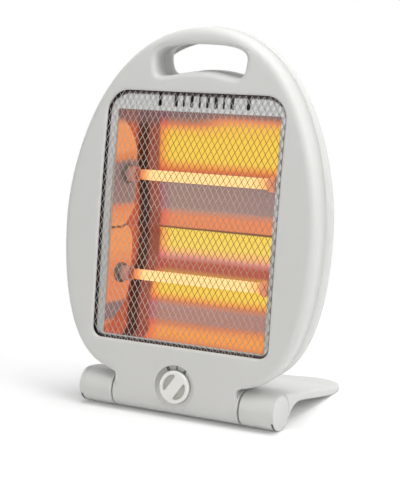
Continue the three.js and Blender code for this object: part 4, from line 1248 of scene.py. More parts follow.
def grown(name, tree, sizes):
    """Runs a tree once and returns a plain mesh object with the result."""
    made = new_object(name, bpy.data.meshes.new(name))
    modifier = made.modifiers.new("grow", "NODES")
    modifier.node_group = tree
    for socket in tree.interface.items_tree:
        if socket.in_out == "INPUT":
            modifier[socket.identifier] = sizes[socket.name]
    graph = bpy.context.evaluated_depsgraph_get()
    result = bpy.data.meshes.new_from_object(made.evaluated_get(graph))
    made.modifiers.remove(modifier)
    made.data = result
    return made


# %% Guard net
net_sizes = {
    "Columns": 65,
    "Rows": 50,
    "Column Pitch": 3.15 * MM,
    "Row Pitch": 5.25 * MM,
    "Foot": 62.0 * MM,
    "Strand Width": 0.8 * MM,
    "Strand Thickness": 0.6 * MM,
    "Behind Face": 3.9 * MM,
    "Half Width": 99.4 * MM,
    "Half Height": 124.0 * MM,
    "Middle": 189.5 * MM,
    "Corner": 26.0 * MM,
}


def face_cubic():
    """The factors of the face's depth as a cubic of the height, both in metres, from the constant up."""
    heights = np.linspace(40, 340, 12)
    return np.polyfit(heights * MM, (face_y(heights) + depth_shift) * MM, 3)[::-1]


def bowed(tree, geometry, behind):
    """Moves points of a flat sheet back to the face's cubic, plus a distance."""
    where = add_node(tree, "GeometryNodeInputPosition").outputs[0]
    split = add_node(tree, "ShaderNodeSeparateXYZ", {"Vector": where}).outputs
    total = None
    for power, factor in reversed(list(enumerate(face_cubic()))):
        if total is None:
            total = add_node(tree, "ShaderNodeMath", {0: split["Z"], 1: factor}, operation="MULTIPLY")
        elif power:
            raised = add_node(tree, "ShaderNodeMath", {0: total.outputs[0], 1: factor}, operation="ADD")
            both = {0: raised.outputs[0], 1: split["Z"]}
            total = add_node(tree, "ShaderNodeMath", both, operation="MULTIPLY")
        else:
            total = add_node(tree, "ShaderNodeMath", {0: total.outputs[0], 1: factor}, operation="ADD")
    deep = add_node(tree, "ShaderNodeMath", {0: total.outputs[0], 1: behind}, operation="ADD")
    deeper = add_node(tree, "ShaderNodeMath", {0: deep.outputs[0], 1: split["Y"]}, operation="ADD")
    moved = add_node(
        tree,
        "ShaderNodeCombineXYZ",
        {"X": split["X"], "Y": deeper.outputs[0], "Z": split["Z"]},
    )
    return add_node(
        tree,
        "GeometryNodeSetPosition",
        {"Geometry": geometry, "Position": moved.outputs[0]},
    ).outputs[0]


def net_tree():
    tree, size = geometry_tree("diamond_net", net_sizes)
    rise = add_node(tree, "ShaderNodeCombineXYZ", {"Z": size["Row Pitch"]})
    step = add_node(tree, "ShaderNodeCombineXYZ", {"X": size["Column Pitch"]})
    strand = add_node(
        tree,
        "GeometryNodeMeshLine",
        {"Count": size["Rows"], "Offset": rise.outputs[0]},
    )
    less_one = add_node(tree, "ShaderNodeMath", {0: size["Columns"], 1: 1.0}, operation="SUBTRACT")
    span = add_node(
        tree,
        "ShaderNodeMath",
        {0: less_one.outputs[0], 1: size["Column Pitch"]},
        operation="MULTIPLY",
    )
    left = add_node(tree, "ShaderNodeMath", {0: span.outputs[0], 1: -0.5}, operation="MULTIPLY")
    start = add_node(
        tree,
        "ShaderNodeCombineXYZ",
        {"X": left.outputs[0], "Z": size["Foot"]},
    )
    row = add_node(
        tree,
        "GeometryNodeMeshLine",
        {"Count": size["Columns"], "Start Location": start.outputs[0], "Offset": step.outputs[0]},
    )
    strands = add_node(
        tree,
        "GeometryNodeInstanceOnPoints",
        {"Points": row.outputs[0], "Instance": strand.outputs[0]},
    )
    real = add_node(tree, "GeometryNodeRealizeInstances", {"Geometry": strands.outputs[0]})
    index = add_node(tree, "GeometryNodeInputIndex").outputs[0]
    column = add_node(tree, "ShaderNodeMath", {0: index, 1: size["Rows"]}, operation="DIVIDE")
    column = add_node(tree, "ShaderNodeMath", {0: column.outputs[0]}, operation="FLOOR")
    both = add_node(tree, "ShaderNodeMath", {0: index, 1: column.outputs[0]}, operation="ADD")
    parity = add_node(tree, "ShaderNodeMath", {0: both.outputs[0], 1: 2.0}, operation="MODULO")
    centred = add_node(tree, "ShaderNodeMath", {0: parity.outputs[0], 1: 0.5}, operation="SUBTRACT")
    swing = add_node(
        tree,
        "ShaderNodeMath",
        {0: centred.outputs[0], 1: size["Column Pitch"]},
        operation="MULTIPLY",
    )
    sideways = add_node(tree, "ShaderNodeCombineXYZ", {"X": swing.outputs[0]})
    zigzag = add_node(
        tree,
        "GeometryNodeSetPosition",
        {"Geometry": real.outputs[0], "Offset": sideways.outputs[0]},
    )
    where = add_node(tree, "GeometryNodeInputPosition").outputs[0]
    split = add_node(tree, "ShaderNodeSeparateXYZ", {"Vector": where}).outputs
    across = add_node(tree, "ShaderNodeMath", {0: split["X"]}, operation="ABSOLUTE")
    height = add_node(tree, "ShaderNodeMath", {0: split["Z"], 1: size["Middle"]}, operation="SUBTRACT")
    up = add_node(tree, "ShaderNodeMath", {0: height.outputs[0]}, operation="ABSOLUTE")
    past = []
    for along, half in ((across, size["Half Width"]), (up, size["Half Height"])):
        straight = add_node(tree, "ShaderNodeMath", {0: half, 1: size["Corner"]}, operation="SUBTRACT")
        reach = {0: along.outputs[0], 1: straight.outputs[0]}
        over = add_node(tree, "ShaderNodeMath", reach, operation="SUBTRACT")
        past.append(add_node(tree, "ShaderNodeMath", {0: over.outputs[0], 1: 0.0}, operation="MAXIMUM"))
    beyond = add_node(tree, "ShaderNodeCombineXYZ", {"X": past[0].outputs[0], "Y": past[1].outputs[0]})
    length = add_node(tree, "ShaderNodeVectorMath", {0: beyond.outputs[0]}, operation="LENGTH")
    outside = add_node(
        tree,
        "ShaderNodeMath",
        {0: length.outputs["Value"], 1: size["Corner"]},
        operation="GREATER_THAN",
    )
    trimmed = add_node(
        tree,
        "GeometryNodeDeleteGeometry",
        {"Geometry": zigzag.outputs[0], "Selection": outside.outputs[0]},
    )
    bent = bowed(tree, trimmed.outputs[0], size["Behind Face"])
    wires = add_node(tree, "GeometryNodeMeshToCurve", {"Mesh": bent})
    section = add_node(
        tree,
        "GeometryNodeCurvePrimitiveCircle",
        {"Resolution": 6, "Radius": 0.5},
    )
    flattened = add_node(
        tree,
        "ShaderNodeCombineXYZ",
        {"X": size["Strand Width"], "Y": size["Strand Thickness"], "Z": 1.0},
    )
    profile = add_node(
        tree,
        "GeometryNodeTransform",
        {"Geometry": section.outputs[0], "Scale": flattened.outputs[0]},
    )
    solid = add_node(
        tree,
        "GeometryNodeCurveToMesh",
        {"Curve": wires.outputs[0], "Profile Curve": profile.outputs[0], "Fill Caps": True},
    )
    close_tree(tree, solid.outputs[0], plated_steel)
    return tree


guard = grown("guard_net", net_tree(), net_sizes)
dress(guard, "housing", ["guard_mesh"], plated_steel, crease=50)

# %% [markdown]
# ## Frame behind the net
# A light grey sheet carries the net. Its top strip has upright slots that let heat out of the troughs, and
# its opening is the mouth of the reflector. It is a face with holes, like the shells, with a thin wall. In
# the photograph the slots and the opening sit a little right of the middle, so they do here too.

# %% Frame
MOUTH_HALF = 91.0
FRAME_LEFT, FRAME_RIGHT = -85.6, 89.2
MOUTH_TOP, MOUTH_FOOT = 291.0, 72.8
FRAME_DEPTH, FRAME_BORDER, FRAME_WALL = 6.0, 4.6, 0.8
SLOT_SHIFT = 7.0
SLOT_FOOT, SLOT_TOP = 295.6, 308.4
SLOTS = [(-47.3, 3.4), (-30.1, 3.4), (-21.5, 1.9), (-12.9, 3.2), (-4.3, 2.0)]
SLOTS += [(4.3, 3.0), (12.9, 3.6), (21.5, 2.0), (30.1, 3.6), (47.3, 3.4)]


def rounded_rectangle(x0, x1, z0, z1, radius, steps=4):
    """A clockwise rectangle between two places along X and two heights."""
    corners = [
        arc((x0 + radius, z1 - radius), radius, 180, 90, steps),
        arc((x1 - radius, z1 - radius), radius, 90, 0, steps),
        arc((x1 - radius, z0 + radius), radius, 0, -90, steps),
        arc((x0 + radius, z0 + radius), radius, 270, 180, steps),
    ]
    return np.vstack(corners)


def window_frame():
    """The sheet with its mouth and slots, and the measure that shades it at the window's edge."""
    skin = Skin()
    mouth = rounded_rectangle(FRAME_LEFT, FRAME_RIGHT, MOUTH_FOOT, MOUTH_TOP, 1.5)
    slots = []
    for x, width in SLOTS:
        left, right = SLOT_SHIFT + x - width / 2, SLOT_SHIFT + x + width / 2
        slots.append(rounded_rectangle(left, right, SLOT_FOOT, SLOT_TOP, 0.8, 2))
    outline = inset(WINDOW, -FRAME_BORDER)
    skin.filled(outline, [mouth, *slots], lambda p: face_y(p[:, 1]) + FRAME_DEPTH, 1.6)
    piece = skin.finish("slotted_frame", "housing", "bezel", ["reflector_bezel"], shaded_frame)
    places = places_of(piece)[:, [0, 2]]
    near = distance_to(WINDOW, places) * np.where(inside_of(WINDOW, places), 1, -1)
    near -= np.where(places[:, 1] > 300, 1.6, 0.0)
    carry(piece, "from_window", near)
    give_wall(piece, FRAME_WALL)


window_frame()

# %% [markdown]
# ## Reflector
# Two troughs of bright aluminium lie one above the other, with a sharp ridge between them. The section is a
# pair of smooth curves, drawn along X. Smooth shading matters here more than anywhere: what a viewer sees in
# a mirror is the change of its normals.

# %% Reflector troughs
TROUGH_DEPTH = 45.5
RIDGE_DEPTH = 36.0
RIDGE_Z = 176.5
MOUTH_DEPTH = 7.0
SPLAY = 0.22
SHEET_WALL = 0.5


def spline(points, steps):
    """A smooth line through points, as a Catmull-Rom curve."""
    points = [np.array(p, float) for p in points]
    padded = [2 * points[0] - points[1], *points, 2 * points[-1] - points[-2]]
    line = []
    for a, b, c, d in zip(padded, padded[1:], padded[2:], padded[3:]):
        for t in np.linspace(0, 1, steps, endpoint=False):
            bend = (2 * a - 5 * b + 4 * c - d) * t**2
            twist = (3 * b - a - 3 * c + d) * t**3
            line.append(0.5 * (2 * b + (c - a) * t + bend + twist))
    return np.array(line + [points[-1]])


UPPER_TROUGH = [
    (MOUTH_DEPTH, MOUTH_TOP),
    (31.0, 270.0),
    (43.2, 248.0),
    (TROUGH_DEPTH, 221.8),
    (TROUGH_DEPTH, 191.5),
    (RIDGE_DEPTH, RIDGE_Z),
]
LOWER_TROUGH = [
    (RIDGE_DEPTH, RIDGE_Z),
    (TROUGH_DEPTH, 160.5),
    (TROUGH_DEPTH, 124.6),
    (42.3, 102.8),
    (29.1, 84.8),
    (MOUTH_DEPTH, MOUTH_FOOT),
]


def chamber_half(depth):
    """Half the troughs' length at a depth; they get narrower towards the rear."""
    return MOUTH_HALF - SPLAY * (depth - MOUTH_DEPTH)


# Where the reflected end sheet stops and the reflected tube starts, as (height, place along X).
GLOW_EDGE = [(73, -40), (78, -41.3), (85, -49), (95, -53.4), (105, -56.7), (118, -56), (127, -53.4)]
GLOW_EDGE += [(145, -50.4), (160, -50.5), (172, -47.3), (177, -46.2), (180, -47.3), (190, -51), (205, -53.3)]
GLOW_EDGE += [(220, -55.4), (235, -56.9), (250, -56.9), (265, -53.4), (275, -49.3), (285, -42.8), (292, -40)]


def trough(name, section, nodes):
    """A section drawn from one end sheet to the other, with the measure that ends its glow."""
    skin = Skin()
    line = spline(section, 14)
    rings = []
    for share in np.linspace(-1, 1, 13):
        x = share * (chamber_half(line[:, 0]) - 0.1)
        rings.append(np.stack([x, face_y(line[:, 1]) + line[:, 0], line[:, 1]], 1))
    skin.rings(rings, around=False)
    piece = skin.finish(name, "housing", "reflector", nodes, lit_trough, crease=60)
    edge_z, edge_x = zip(*GLOW_EDGE)
    places = places_of(piece)
    carry(piece, "past_edge", places[:, 0] - np.interp(places[:, 2], edge_z, edge_x))
    give_wall(piece, SHEET_WALL)


trough("upper_trough", UPPER_TROUGH, ["reflector"])
trough("lower_trough", LOWER_TROUGH, [])

# %% [markdown]
# ## End sheets and holders
# A splayed sheet closes the troughs at each end. The ceramic holders sit against it: a flange, tilted to lie
# flat on the sheet, then a collar that the tube's end goes into.

# %% End sheets
TUBE_DEPTH = 31.0
TUBES = {"upper": 225.5, "lower": 127.5}


def end_sheet(name, side, node):
    """The sheet that fills the troughs' outline at one end, in the side view."""
    skin = Skin()
    upper, lower = spline(UPPER_TROUGH, 14), spline(LOWER_TROUGH, 14)
    front = [(MOUTH_DEPTH, z) for z in np.linspace(MOUTH_FOOT, MOUTH_TOP, 24)[1:-1]]
    outline = np.vstack([upper, lower[1:], front])
    real = np.stack([face_y(outline[:, 1]) + outline[:, 0], outline[:, 1]], 1)

    def splayed(points):
        return side * chamber_half(points[:, 0] - face_y(points[:, 1]))

    skin.filled(real, [], splayed, 6.0)
    skin.points = [[x, y, z] for y, x, z in skin.points]
    piece = skin.finish(name, "housing", "reflector", [node], lit_end)
    give_wall(piece, SHEET_WALL)


end_sheet("end_sheet_left", -1, "reflector_end_left")
end_sheet("end_sheet_right", 1, "reflector_end_right")

# %% Ceramic holders
PLATE_X = chamber_half(TUBE_DEPTH)
HOLDER_MOUTH = PLATE_X - 13.0
# Places along X from the end sheet towards the middle, and radii.
COLLAR = [(-10.0, 5.6), (-13.0, 5.6), (-13.2, 5.9), (-13.2, 7.3), (-12.8, 7.6), (-3.0, 7.6)]
FLANGE = [(-3.6, 0.001), (-3.6, 9.4), (-3.0, 10.0), (-1.0, 10.0), (-0.7, 9.7), (-0.7, 0.001)]


def lathe(skin, profile, sides=40):
    """Turns a profile of places and radii about an axis along X; a radius near 0 closes it."""
    turn = np.linspace(0, 2 * math.pi, sides, endpoint=False)
    rings = []
    for along, radius in profile:
        x = np.full(sides, along)
        rings.append(np.stack([x, radius * np.cos(turn), radius * np.sin(turn)], 1))
    skin.rings(rings)


def holder(name, z, side):
    """A collar along the tube and a flange on the splayed sheet, for one end of a tube."""
    skin, flange = Skin(), Skin()
    lathe(skin, COLLAR)
    lathe(flange, FLANGE)
    tilt = math.atan(SPLAY)
    x, y, height = np.array(flange.points).T
    tilted_x = x * math.cos(tilt) - y * math.sin(tilt)
    tilted_y = x * math.sin(tilt) + y * math.cos(tilt)
    skin.add(np.stack([tilted_x, tilted_y, height], 1), flange.faces)
    placed = np.array(skin.points)
    placed[:, 0] = side * (placed[:, 0] + PLATE_X)
    placed[:, 1] += float(face_y(z)) + TUBE_DEPTH
    placed[:, 2] += z
    skin.points = placed.tolist()
    skin.finish(name, "housing", "ceramic", [f"tube_{name}"], steatite, crease=40)


for level, height in TUBES.items():
    for side_name, side in (("left", -1), ("right", 1)):
        holder(f"holder_{level}_{side_name}", height, side)

# %% [markdown]
# ## Tubes and wires
# A quartz tube is drawn as the glowing skin that it is when the heater is on. The wound wire inside it is
# grown with Geometry Nodes: a spiral with a round section.

# %% Quartz tubes
TUBE_HALF = HOLDER_MOUTH + 6.0
TUBE_RADIUS, TUBE_LIP, TUBE_BORE = 5.25, 5.05, 4.0


def quartz_tube(level, z):
    """A tube with softly melted ends."""
    skin = Skin()
    profile = [(-TUBE_HALF, TUBE_BORE), (-TUBE_HALF, TUBE_LIP), (-TUBE_HALF + 0.3, TUBE_RADIUS)]
    profile += [(x, TUBE_RADIUS) for x in np.linspace(-TUBE_HALF + 4, TUBE_HALF - 4, 40)]
    profile += [(TUBE_HALF - 0.3, TUBE_RADIUS), (TUBE_HALF, TUBE_LIP)]
    profile += [(TUBE_HALF, TUBE_BORE), (-TUBE_HALF, TUBE_BORE)]
    lathe(skin, profile, 32)
    placed = np.array(skin.points) + [0, float(face_y(z)) + TUBE_DEPTH, z]
    skin.points = placed.tolist()
    skin.finish(f"quartz_{level}", "housing", "quartz", [f"quartz_tube_{level}"], glowing_quartz, crease=50)


for level, height in TUBES.items():
    quartz_tube(level, height)

# %% Wound wires
coil_sizes = {
    "Turns": 60.0,
    "Length": 140.0 * MM,
    "Radius": 3.0 * MM,
    "Wire": 0.3 * MM,
    "Depth": 0.0,
    "Height": 0.0,
}


def coil_tree():
    tree, size = geometry_tree("wound_wire", coil_sizes)
    spiral = add_node(
        tree,
        "GeometryNodeCurveSpiral",
        {
            "Resolution": 10,
            "Rotations": size["Turns"],
            "Start Radius": size["Radius"],
            "End Radius": size["Radius"],
            "Height": size["Length"],
        },
    )
    half = add_node(tree, "ShaderNodeMath", {0: size["Length"], 1: -0.5}, operation="MULTIPLY")
    shift = add_node(
        tree,
        "ShaderNodeCombineXYZ",
        {"X": half.outputs[0], "Y": size["Depth"], "Z": size["Height"]},
    )
    laid = add_node(
        tree,
        "GeometryNodeTransform",
        {"Geometry": spiral.outputs[0], "Translation": shift.outputs[0], "Rotation": (0, math.pi / 2, 0)},
    )
    section = add_node(tree, "GeometryNodeCurvePrimitiveCircle", {"Resolution": 5, "Radius": size["Wire"]})
    wire = add_node(
        tree,
        "GeometryNodeCurveToMesh",
        {"Curve": laid.outputs[0], "Profile Curve": section.outputs[0], "Fill Caps": True},
    )
    close_tree(tree, wire.outputs[0], hot_wire)
    return tree


wire_tree = coil_tree()
for level, height in TUBES.items():
    centre = metres((0, float(face_y(height)) + TUBE_DEPTH, height))[0]
    sizes = {**coil_sizes, "Depth": float(centre[1]), "Height": float(centre[2])}
    coil = grown(f"wound_wire_{level}", wire_tree, sizes)
    dress(coil, "housing", [f"heating_coil_{level}"], hot_wire, crease=60)

# %% [markdown]
# ## Dial
# The knob is a flat disc with a softly rounded rim. Two half-moon pockets leave a grip bar between them,
# which points at the chosen number. The numbers are printed on the sloping ring of the dish.

# %% Knob
KNOB_RADIUS = 16.1
KNOB_TOP = 0.6
KNOB_ROUND = 1.8
KNOB_TURN = math.radians(35)
POCKET_RADIUS = 12.3
POCKET_DEPTH = 3.2
BAR_HALF = 5.5
CORNER_TURN, CORNER_CUT = 9, 1.2
# How far inside the pocket's outline its rings lie, and how far below the knob's top.
POCKET_STEPS = [(-0.5, 0.0), (-0.15, 0.15), (0.0, 0.5), (0.35, POCKET_DEPTH - 0.5), (0.9, POCKET_DEPTH)]


def pocket_ring(side):
    """One half-moon on the knob's face, its corners rounded, as points of the dial's own x and y."""
    reach = math.degrees(math.acos(BAR_HALF / POCKET_RADIUS)) - CORNER_TURN
    bow = arc((0, 0), POCKET_RADIUS, -reach, reach, 18)
    top, foot = bow[-1][1], bow[0][1]
    chord = [(BAR_HALF, z) for z in (top - CORNER_CUT, 2.0, -2.0, foot + CORNER_CUT)]
    return np.vstack([bow, chord])[::-1] * side


def knob():
    """The rim, the two pockets and the flat face round them, on the dial's own frame."""
    skin = Skin()
    shoulder = KNOB_TOP - KNOB_ROUND
    rim = [(KNOB_RADIUS - 0.1, -5.5), (KNOB_RADIUS, -5.2), (KNOB_RADIUS, shoulder)]
    for angle in QUARTER[1:]:
        radius = KNOB_RADIUS - KNOB_ROUND + KNOB_ROUND * math.cos(angle)
        rim.append((radius, shoulder + KNOB_ROUND * math.sin(angle)))
    circles = [np.array(dial_circle(radius, height, 96)) for radius, height in rim]
    skin.rings(circles, close_first=True)
    cos, sin = math.cos(KNOB_TURN), math.sin(KNOB_TURN)
    holes = []
    for side in (-1, 1):
        outline = pocket_ring(side) @ np.array([[cos, -sin], [sin, cos]])
        rings = []
        for inwards, drop in POCKET_STEPS:
            ring = inset(outline, inwards)
            rings.append(np.column_stack([ring, np.full(len(ring), KNOB_TOP - drop)]))
        skin.rings(rings, close_last=True)
        holes.append(rings[0][:, :2])
    patch = Skin()
    patch.filled(circles[-1][:, :2], holes, lambda p: np.full(len(p), KNOB_TOP), 3.0)
    skin.add(np.array(patch.points)[:, [0, 2, 1]], patch.faces)
    skin.points = on_dial(skin.points).tolist()
    piece = skin.finish("dial_knob", "knob", "knob", ["control_knob"], knob_abs, crease=38)
    # Painted shade in the pockets: each vertex there carries its depth below the knob's top.
    pockets = POCKET_RADIUS + 1.2
    painted_shade = [KNOB_TOP - p.z if math.hypot(p.x, p.y) < pockets else 0.0 for p in seen_from_dial(piece)]
    carry(piece, "painted_shade_mm", painted_shade)


knob()

# %% Numbers of the dial
NUMBERS = [("0", -27), ("1", 3), ("2", 31)]
NUMBER_SIZE, NUMBER_RAISED, NUMBER_WEIGHT = 5.5, 0.05, 0.36
RING_RADIUS, RING_HEIGHT = 18.8, -2.53
RING_LEAN = math.atan2(1.1, 3.7)


def dial_numbers():
    """The three settings as thin raised letters on the ring, each turned to face the middle."""
    whole = bmesh.new()
    for text, degrees in NUMBERS:
        font = bpy.data.curves.new("number", "FONT")
        font.body = text
        font.size = NUMBER_SIZE
        font.extrude = NUMBER_RAISED
        font.offset = NUMBER_WEIGHT
        font.align_x = "CENTER"
        font.align_y = "CENTER"
        letter = new_object("number", font)
        graph = bpy.context.evaluated_depsgraph_get()
        flat = bpy.data.meshes.new_from_object(letter.evaluated_get(graph))
        turned = dial_frame @ Matrix.Rotation(-math.radians(degrees), 4, "Z")
        moved = turned @ Matrix.Translation((0, RING_RADIUS, RING_HEIGHT))
        flat.transform(moved @ Matrix.Rotation(RING_LEAN, 4, "X"))
        whole.from_mesh(flat)
        bpy.data.objects.remove(letter)
    mesh = bpy.data.meshes.new("dial_numbers")
    whole.to_mesh(mesh)
    whole.free()
    mesh.transform(Matrix.Translation((0, depth_shift, 0)))
    mesh.transform(Matrix.Scale(MM, 4))
    dress(new_object("dial_numbers", mesh), "housing", [], black_nylon)


dial_numbers()

# %% [markdown]
# ## Stand
# The stand is one moulding: two hubs, and a plate that flows out of them and slopes down to two toes. A
# section through a hub is drawn along X, and its rear end follows the toes' outline. Between the hubs only
# the plate's part of the section is used. A voxel remesh melts the parts into one skin, and a little
# smoothing gives the soft edges of a moulding. A boolean then takes four hollows out of the underside, so
# that ribs, a rim and the posts of the rear feet are left, as in any plate moulded with a thin wall.

# %% Sections of the stand
STAND_HALF = 107.0
HUB_RADIUS = 16.9
HUB_INNER, HUB_OUTER = 69.9, 103.6
PLATE_FRONT, BEND_Y = 31.5, 50.0
FRONT_TOP, BEND_TOP, LOWEST_TOP = 30.6, 27.1, 7.6
PLATE_SLOPE = 0.211
PLATE_THICK = 9.3
SOLE_Z = 0.7
TOE_X, TOE_Y = 75.0, 166.0
REAR_ARCH, TOE_CORNER = 9.0, 16.5
EDGE_REACH, EDGE_DROP = 3.4, 1.6


def stand_top(y):
    """Height of the plate's top at a depth: a slope behind the bend, and a gentler swell before it."""
    y = np.asarray(y, float)
    plain = np.maximum(LOWEST_TOP, BEND_TOP - PLATE_SLOPE * (y - BEND_Y))
    back = np.clip((BEND_Y - y) / (BEND_Y - PLATE_FRONT), 0, 1)
    near = BEND_TOP + (FRONT_TOP - BEND_TOP) * back**2 * 0.4 + PLATE_SLOPE * (BEND_Y - y) * 0.6
    return np.where(y > BEND_Y, plain, near)


def rear_edge(x):
    """The toes' outline: how far back the stand reaches at a distance from the middle."""
    x = abs(x)
    if x < TOE_X:
        radius = (TOE_X**2 + REAR_ARCH**2) / (2 * REAR_ARCH)
        return TOE_Y - REAR_ARCH + radius - math.sqrt(radius**2 - x**2)
    t = (x - TOE_X) / (STAND_HALF - TOE_X)
    return TOE_Y - TOE_CORNER * (1 - math.sqrt(max(0.0, 1 - t**2.3)))


def toe_nose(rear):
    """The rounded rear end of a section, from its top to its sole, as points of depth and height."""
    top = stand_top(rear - 3.0)
    nose = bezier((rear - 3, top), (rear - 0.6, top - 0.3), (rear, 4.4), (rear, 3.1), 6)[1:]
    under = bezier((rear, 3.1), (rear, 1.6), (rear - 0.8, 0.8), (rear - 2.4, SOLE_Z), 5)[1:]
    return np.vstack([nose, under])


def underside(y):
    """Points of the plate's underside at some depths."""
    return np.stack([y, np.maximum(SOLE_Z, stand_top(y) - PLATE_THICK)], 1)


def plate_section(x):
    """Top and underside of the plate at one x, from front to rear and back."""
    rear = rear_edge(x)
    y = np.linspace(PLATE_FRONT, rear - 3.0, 40)
    top = np.stack([y, stand_top(y)], 1)
    foot = underside(np.linspace(rear - 4, PLATE_FRONT + 3.0, 40))
    height = stand_top(PLATE_FRONT)
    nose_front = [(PLATE_FRONT + 0.8, height - 8.0), (PLATE_FRONT, height - 6.5)]
    return np.vstack([top, toe_nose(rear), foot, nose_front])


def hub_section(x, round_part):
    """Section through a hub and its share of the plate; the first part runs round the hub to its top."""
    rear = rear_edge(x)
    flow = bezier(round_part[-1], (20.0, 33.6), (27.0, 32.4), (38.0, stand_top(38.0)), 10)[1:]
    y = np.linspace(42, rear - 3.0, 36)
    top = np.stack([y, stand_top(y)], 1)
    foot = underside(np.linspace(rear - 4, 56.0, 30))
    arch = bezier((56, stand_top(56) - PLATE_THICK), (42, 18.6), (29, 14.5), (23.5, 5.5), 12)[1:]
    heel = bezier((23.5, 5.5), (21.5, 2.4), (17.5, 0.75), (12.5, 0.75), 6)[1:]
    return np.vstack([round_part, flow, top, toe_nose(rear), foot, arch, heel])


def shrunk(section, by):
    """The plate's part of a section, made thinner by a distance; the part by the cap stays."""
    centre = stand_top(section[:, 0]) - 4.6
    share = np.clip((section[:, 0] - 30) / 16, 0, 1) * by / 4.6
    thin = section.copy()
    thin[:, 1] += (centre - section[:, 1]) * share
    return thin


def at_x(section, x):
    """A section of depths and heights, placed along X."""
    return np.column_stack([np.full(len(section), x), section])


def stand_blank():
    """The stand without its hollows, as closed parts that overlap: hubs, outer edges and the plate."""
    skin = Skin()
    stations = np.concatenate([np.linspace(HUB_INNER, 100, 14), [HUB_OUTER]])
    full = arc((AXIS_Y, AXIS_Z), HUB_RADIUS, 262, 82, 40)
    bite = arc((AXIS_Y, AXIS_Z), HUB_RADIUS + 0.1, -44, 82, 30)
    for side in (-1, 1):
        hub = [at_x(hub_section(x, full), side * x) for x in stations]
        skin.rings(hub, close_first=True, close_last=True)
        edge = []
        for x in np.linspace(HUB_OUTER - 0.5, STAND_HALF, 9):
            out = max(0.0, x - HUB_OUTER) / EDGE_REACH
            drop = EDGE_DROP * (1 - math.sqrt(max(0, 1 - out**2)))
            edge.append(at_x(shrunk(hub_section(x, bite), drop), side * x))
        skin.rings(edge, close_first=True, close_last=True)
    middle = np.linspace(-HUB_INNER - 0.6, HUB_INNER + 0.6, 31)
    skin.rings([at_x(plate_section(x), x) for x in middle], close_first=True, close_last=True)
    return skin


print("stand reaches back", round(rear_edge(0), 1), "mm in the middle and", TOE_Y, "mm at the toes")

# %% Hollows and the finished stand
FOOT_X, FOOT_Y, POST_RADIUS = 75.0, 149, 9.5
FRONT_RIM, HUB_WALL_Y, HUB_WALL_X = 2.5, 43.5, 68.9
REAR_RIM, ROOF_WALL = 4.5, 2.5
VOXEL = 1.0
# Where along X the sections lie: of a hollow next to the middle rib, and of one beyond the side rib.
NEAR_HOLLOW = np.linspace(1.1, 48.9, 12)
FAR_HOLLOW = [51.1, 58.0, 65.4, 65.49, 68.85, 68.95, 84.51, 84.6, 92.0, 98.0, 104.4]


def under_plate(x):
    """The hollow under the plate at one x: its front wall, its rear wall or foot post, and its roof."""
    front = HUB_WALL_Y if abs(x) > HUB_WALL_X else PLATE_FRONT + FRONT_RIM
    rear = rear_edge(x) - REAR_RIM
    beside = abs(x) - FOOT_X
    if abs(beside) < POST_RADIUS:
        rear = min(rear, FOOT_Y - math.sqrt(POST_RADIUS**2 - beside**2))
    y = np.linspace(front, rear, 24)
    roof = np.stack([y, stand_top(y) - ROOF_WALL], 1)
    return at_x(np.vstack([roof, [(rear, -1.0), (front, -1.0)]]), x)


def stand_pockets():
    """Four hollows under the plate, which leave three ribs, the rim and the posts of the rear feet."""
    skin = Skin()
    round_post = [FOOT_X + POST_RADIUS * math.cos(a) for a in np.linspace(math.pi, 0, 17)[1:-1]]
    for places in (NEAR_HOLLOW, sorted(FAR_HOLLOW + round_post)):
        for side in (-1, 1):
            rings = [under_plate(side * x) for x in places]
            skin.rings(rings, close_first=True, close_last=True)
    return new_object("pockets", skin.mesh("pockets", merge=False))


def stand():
    """Melts the blank's parts together, softens them and cuts the hollows."""
    made = new_object("folding_stand", stand_blank().mesh("stand", merge=False))
    melt = made.modifiers.new("melt", "REMESH")
    melt.mode = "VOXEL"
    melt.voxel_size = VOXEL * MM
    melt.use_smooth_shade = True
    soften = made.modifiers.new("soften", "SMOOTH")
    soften.factor = 0.5
    soften.iterations = 8
    hollow = made.modifiers.new("hollow", "BOOLEAN")
    hollow.operation = "DIFFERENCE"
    hollow.solver = "EXACT"
    hollow.object = stand_pockets()
    graph = bpy.context.evaluated_depsgraph_get()
    result = bpy.data.meshes.new_from_object(made.evaluated_get(graph))
    bpy.data.objects.remove(hollow.object)
    made.modifiers.clear()
    made.data = result
    print("stand of", len(result.polygons), "faces")
    dress(made, "stand", ["base_stand"], housing_abs, crease=60)


stand()

# %% [markdown]
# ## Hub caps
# A cap closes each hub. It is turned on a lathe about the fold axis, with a soft edge, and at its front foot
# a thin black strip is the painted shadow in the slit where the cap parts from the hub.

# %% Hub caps
CAP_ROUND = 1.6
SLIT_LEFT, SLIT_RIGHT = 103.5, 105.2


def hub_cap(name, side, node):
    """A turned disc with a rounded edge and a slightly raised middle."""
    skin = Skin()
    start, radius = HUB_OUTER - 0.9, HUB_RADIUS - 0.02
    profile = [(start, 0.001), (start, radius), (STAND_HALF - CAP_ROUND, radius)]
    for angle in QUARTER[1:]:
        along = STAND_HALF - 1.7 + CAP_ROUND * math.sin(angle)
        profile.append((along, HUB_RADIUS - CAP_ROUND * (1 - math.cos(angle))))
    profile += [(STAND_HALF - 0.04, 9.0), (STAND_HALF, 0.001)]
    lathe(skin, profile, 64)
    placed = np.array(skin.points)
    placed[:, 0] *= side
    placed[:, 1:] += [AXIS_Y, AXIS_Z]
    skin.points = placed.tolist()
    skin.finish(name, "stand", "stand", [node], housing_abs, crease=40)


def slit_shadow_strip(name, side):
    """A black strip for the painted shadow in the parting slit at the front foot of a cap, where a
    screwdriver levers it off.
    """
    skin = Skin()
    bow = arc((AXIS_Y, AXIS_Z), HUB_RADIUS + 0.03, 203, 243, 12)
    skin.rings([at_x(bow, side * x) for x in (SLIT_LEFT, SLIT_RIGHT)], around=False)
    # The black here is only the painted shadow of the slit.
    piece = skin.finish(name, "stand", "stand", [], black_nylon)
    give_wall(piece, 0.12)


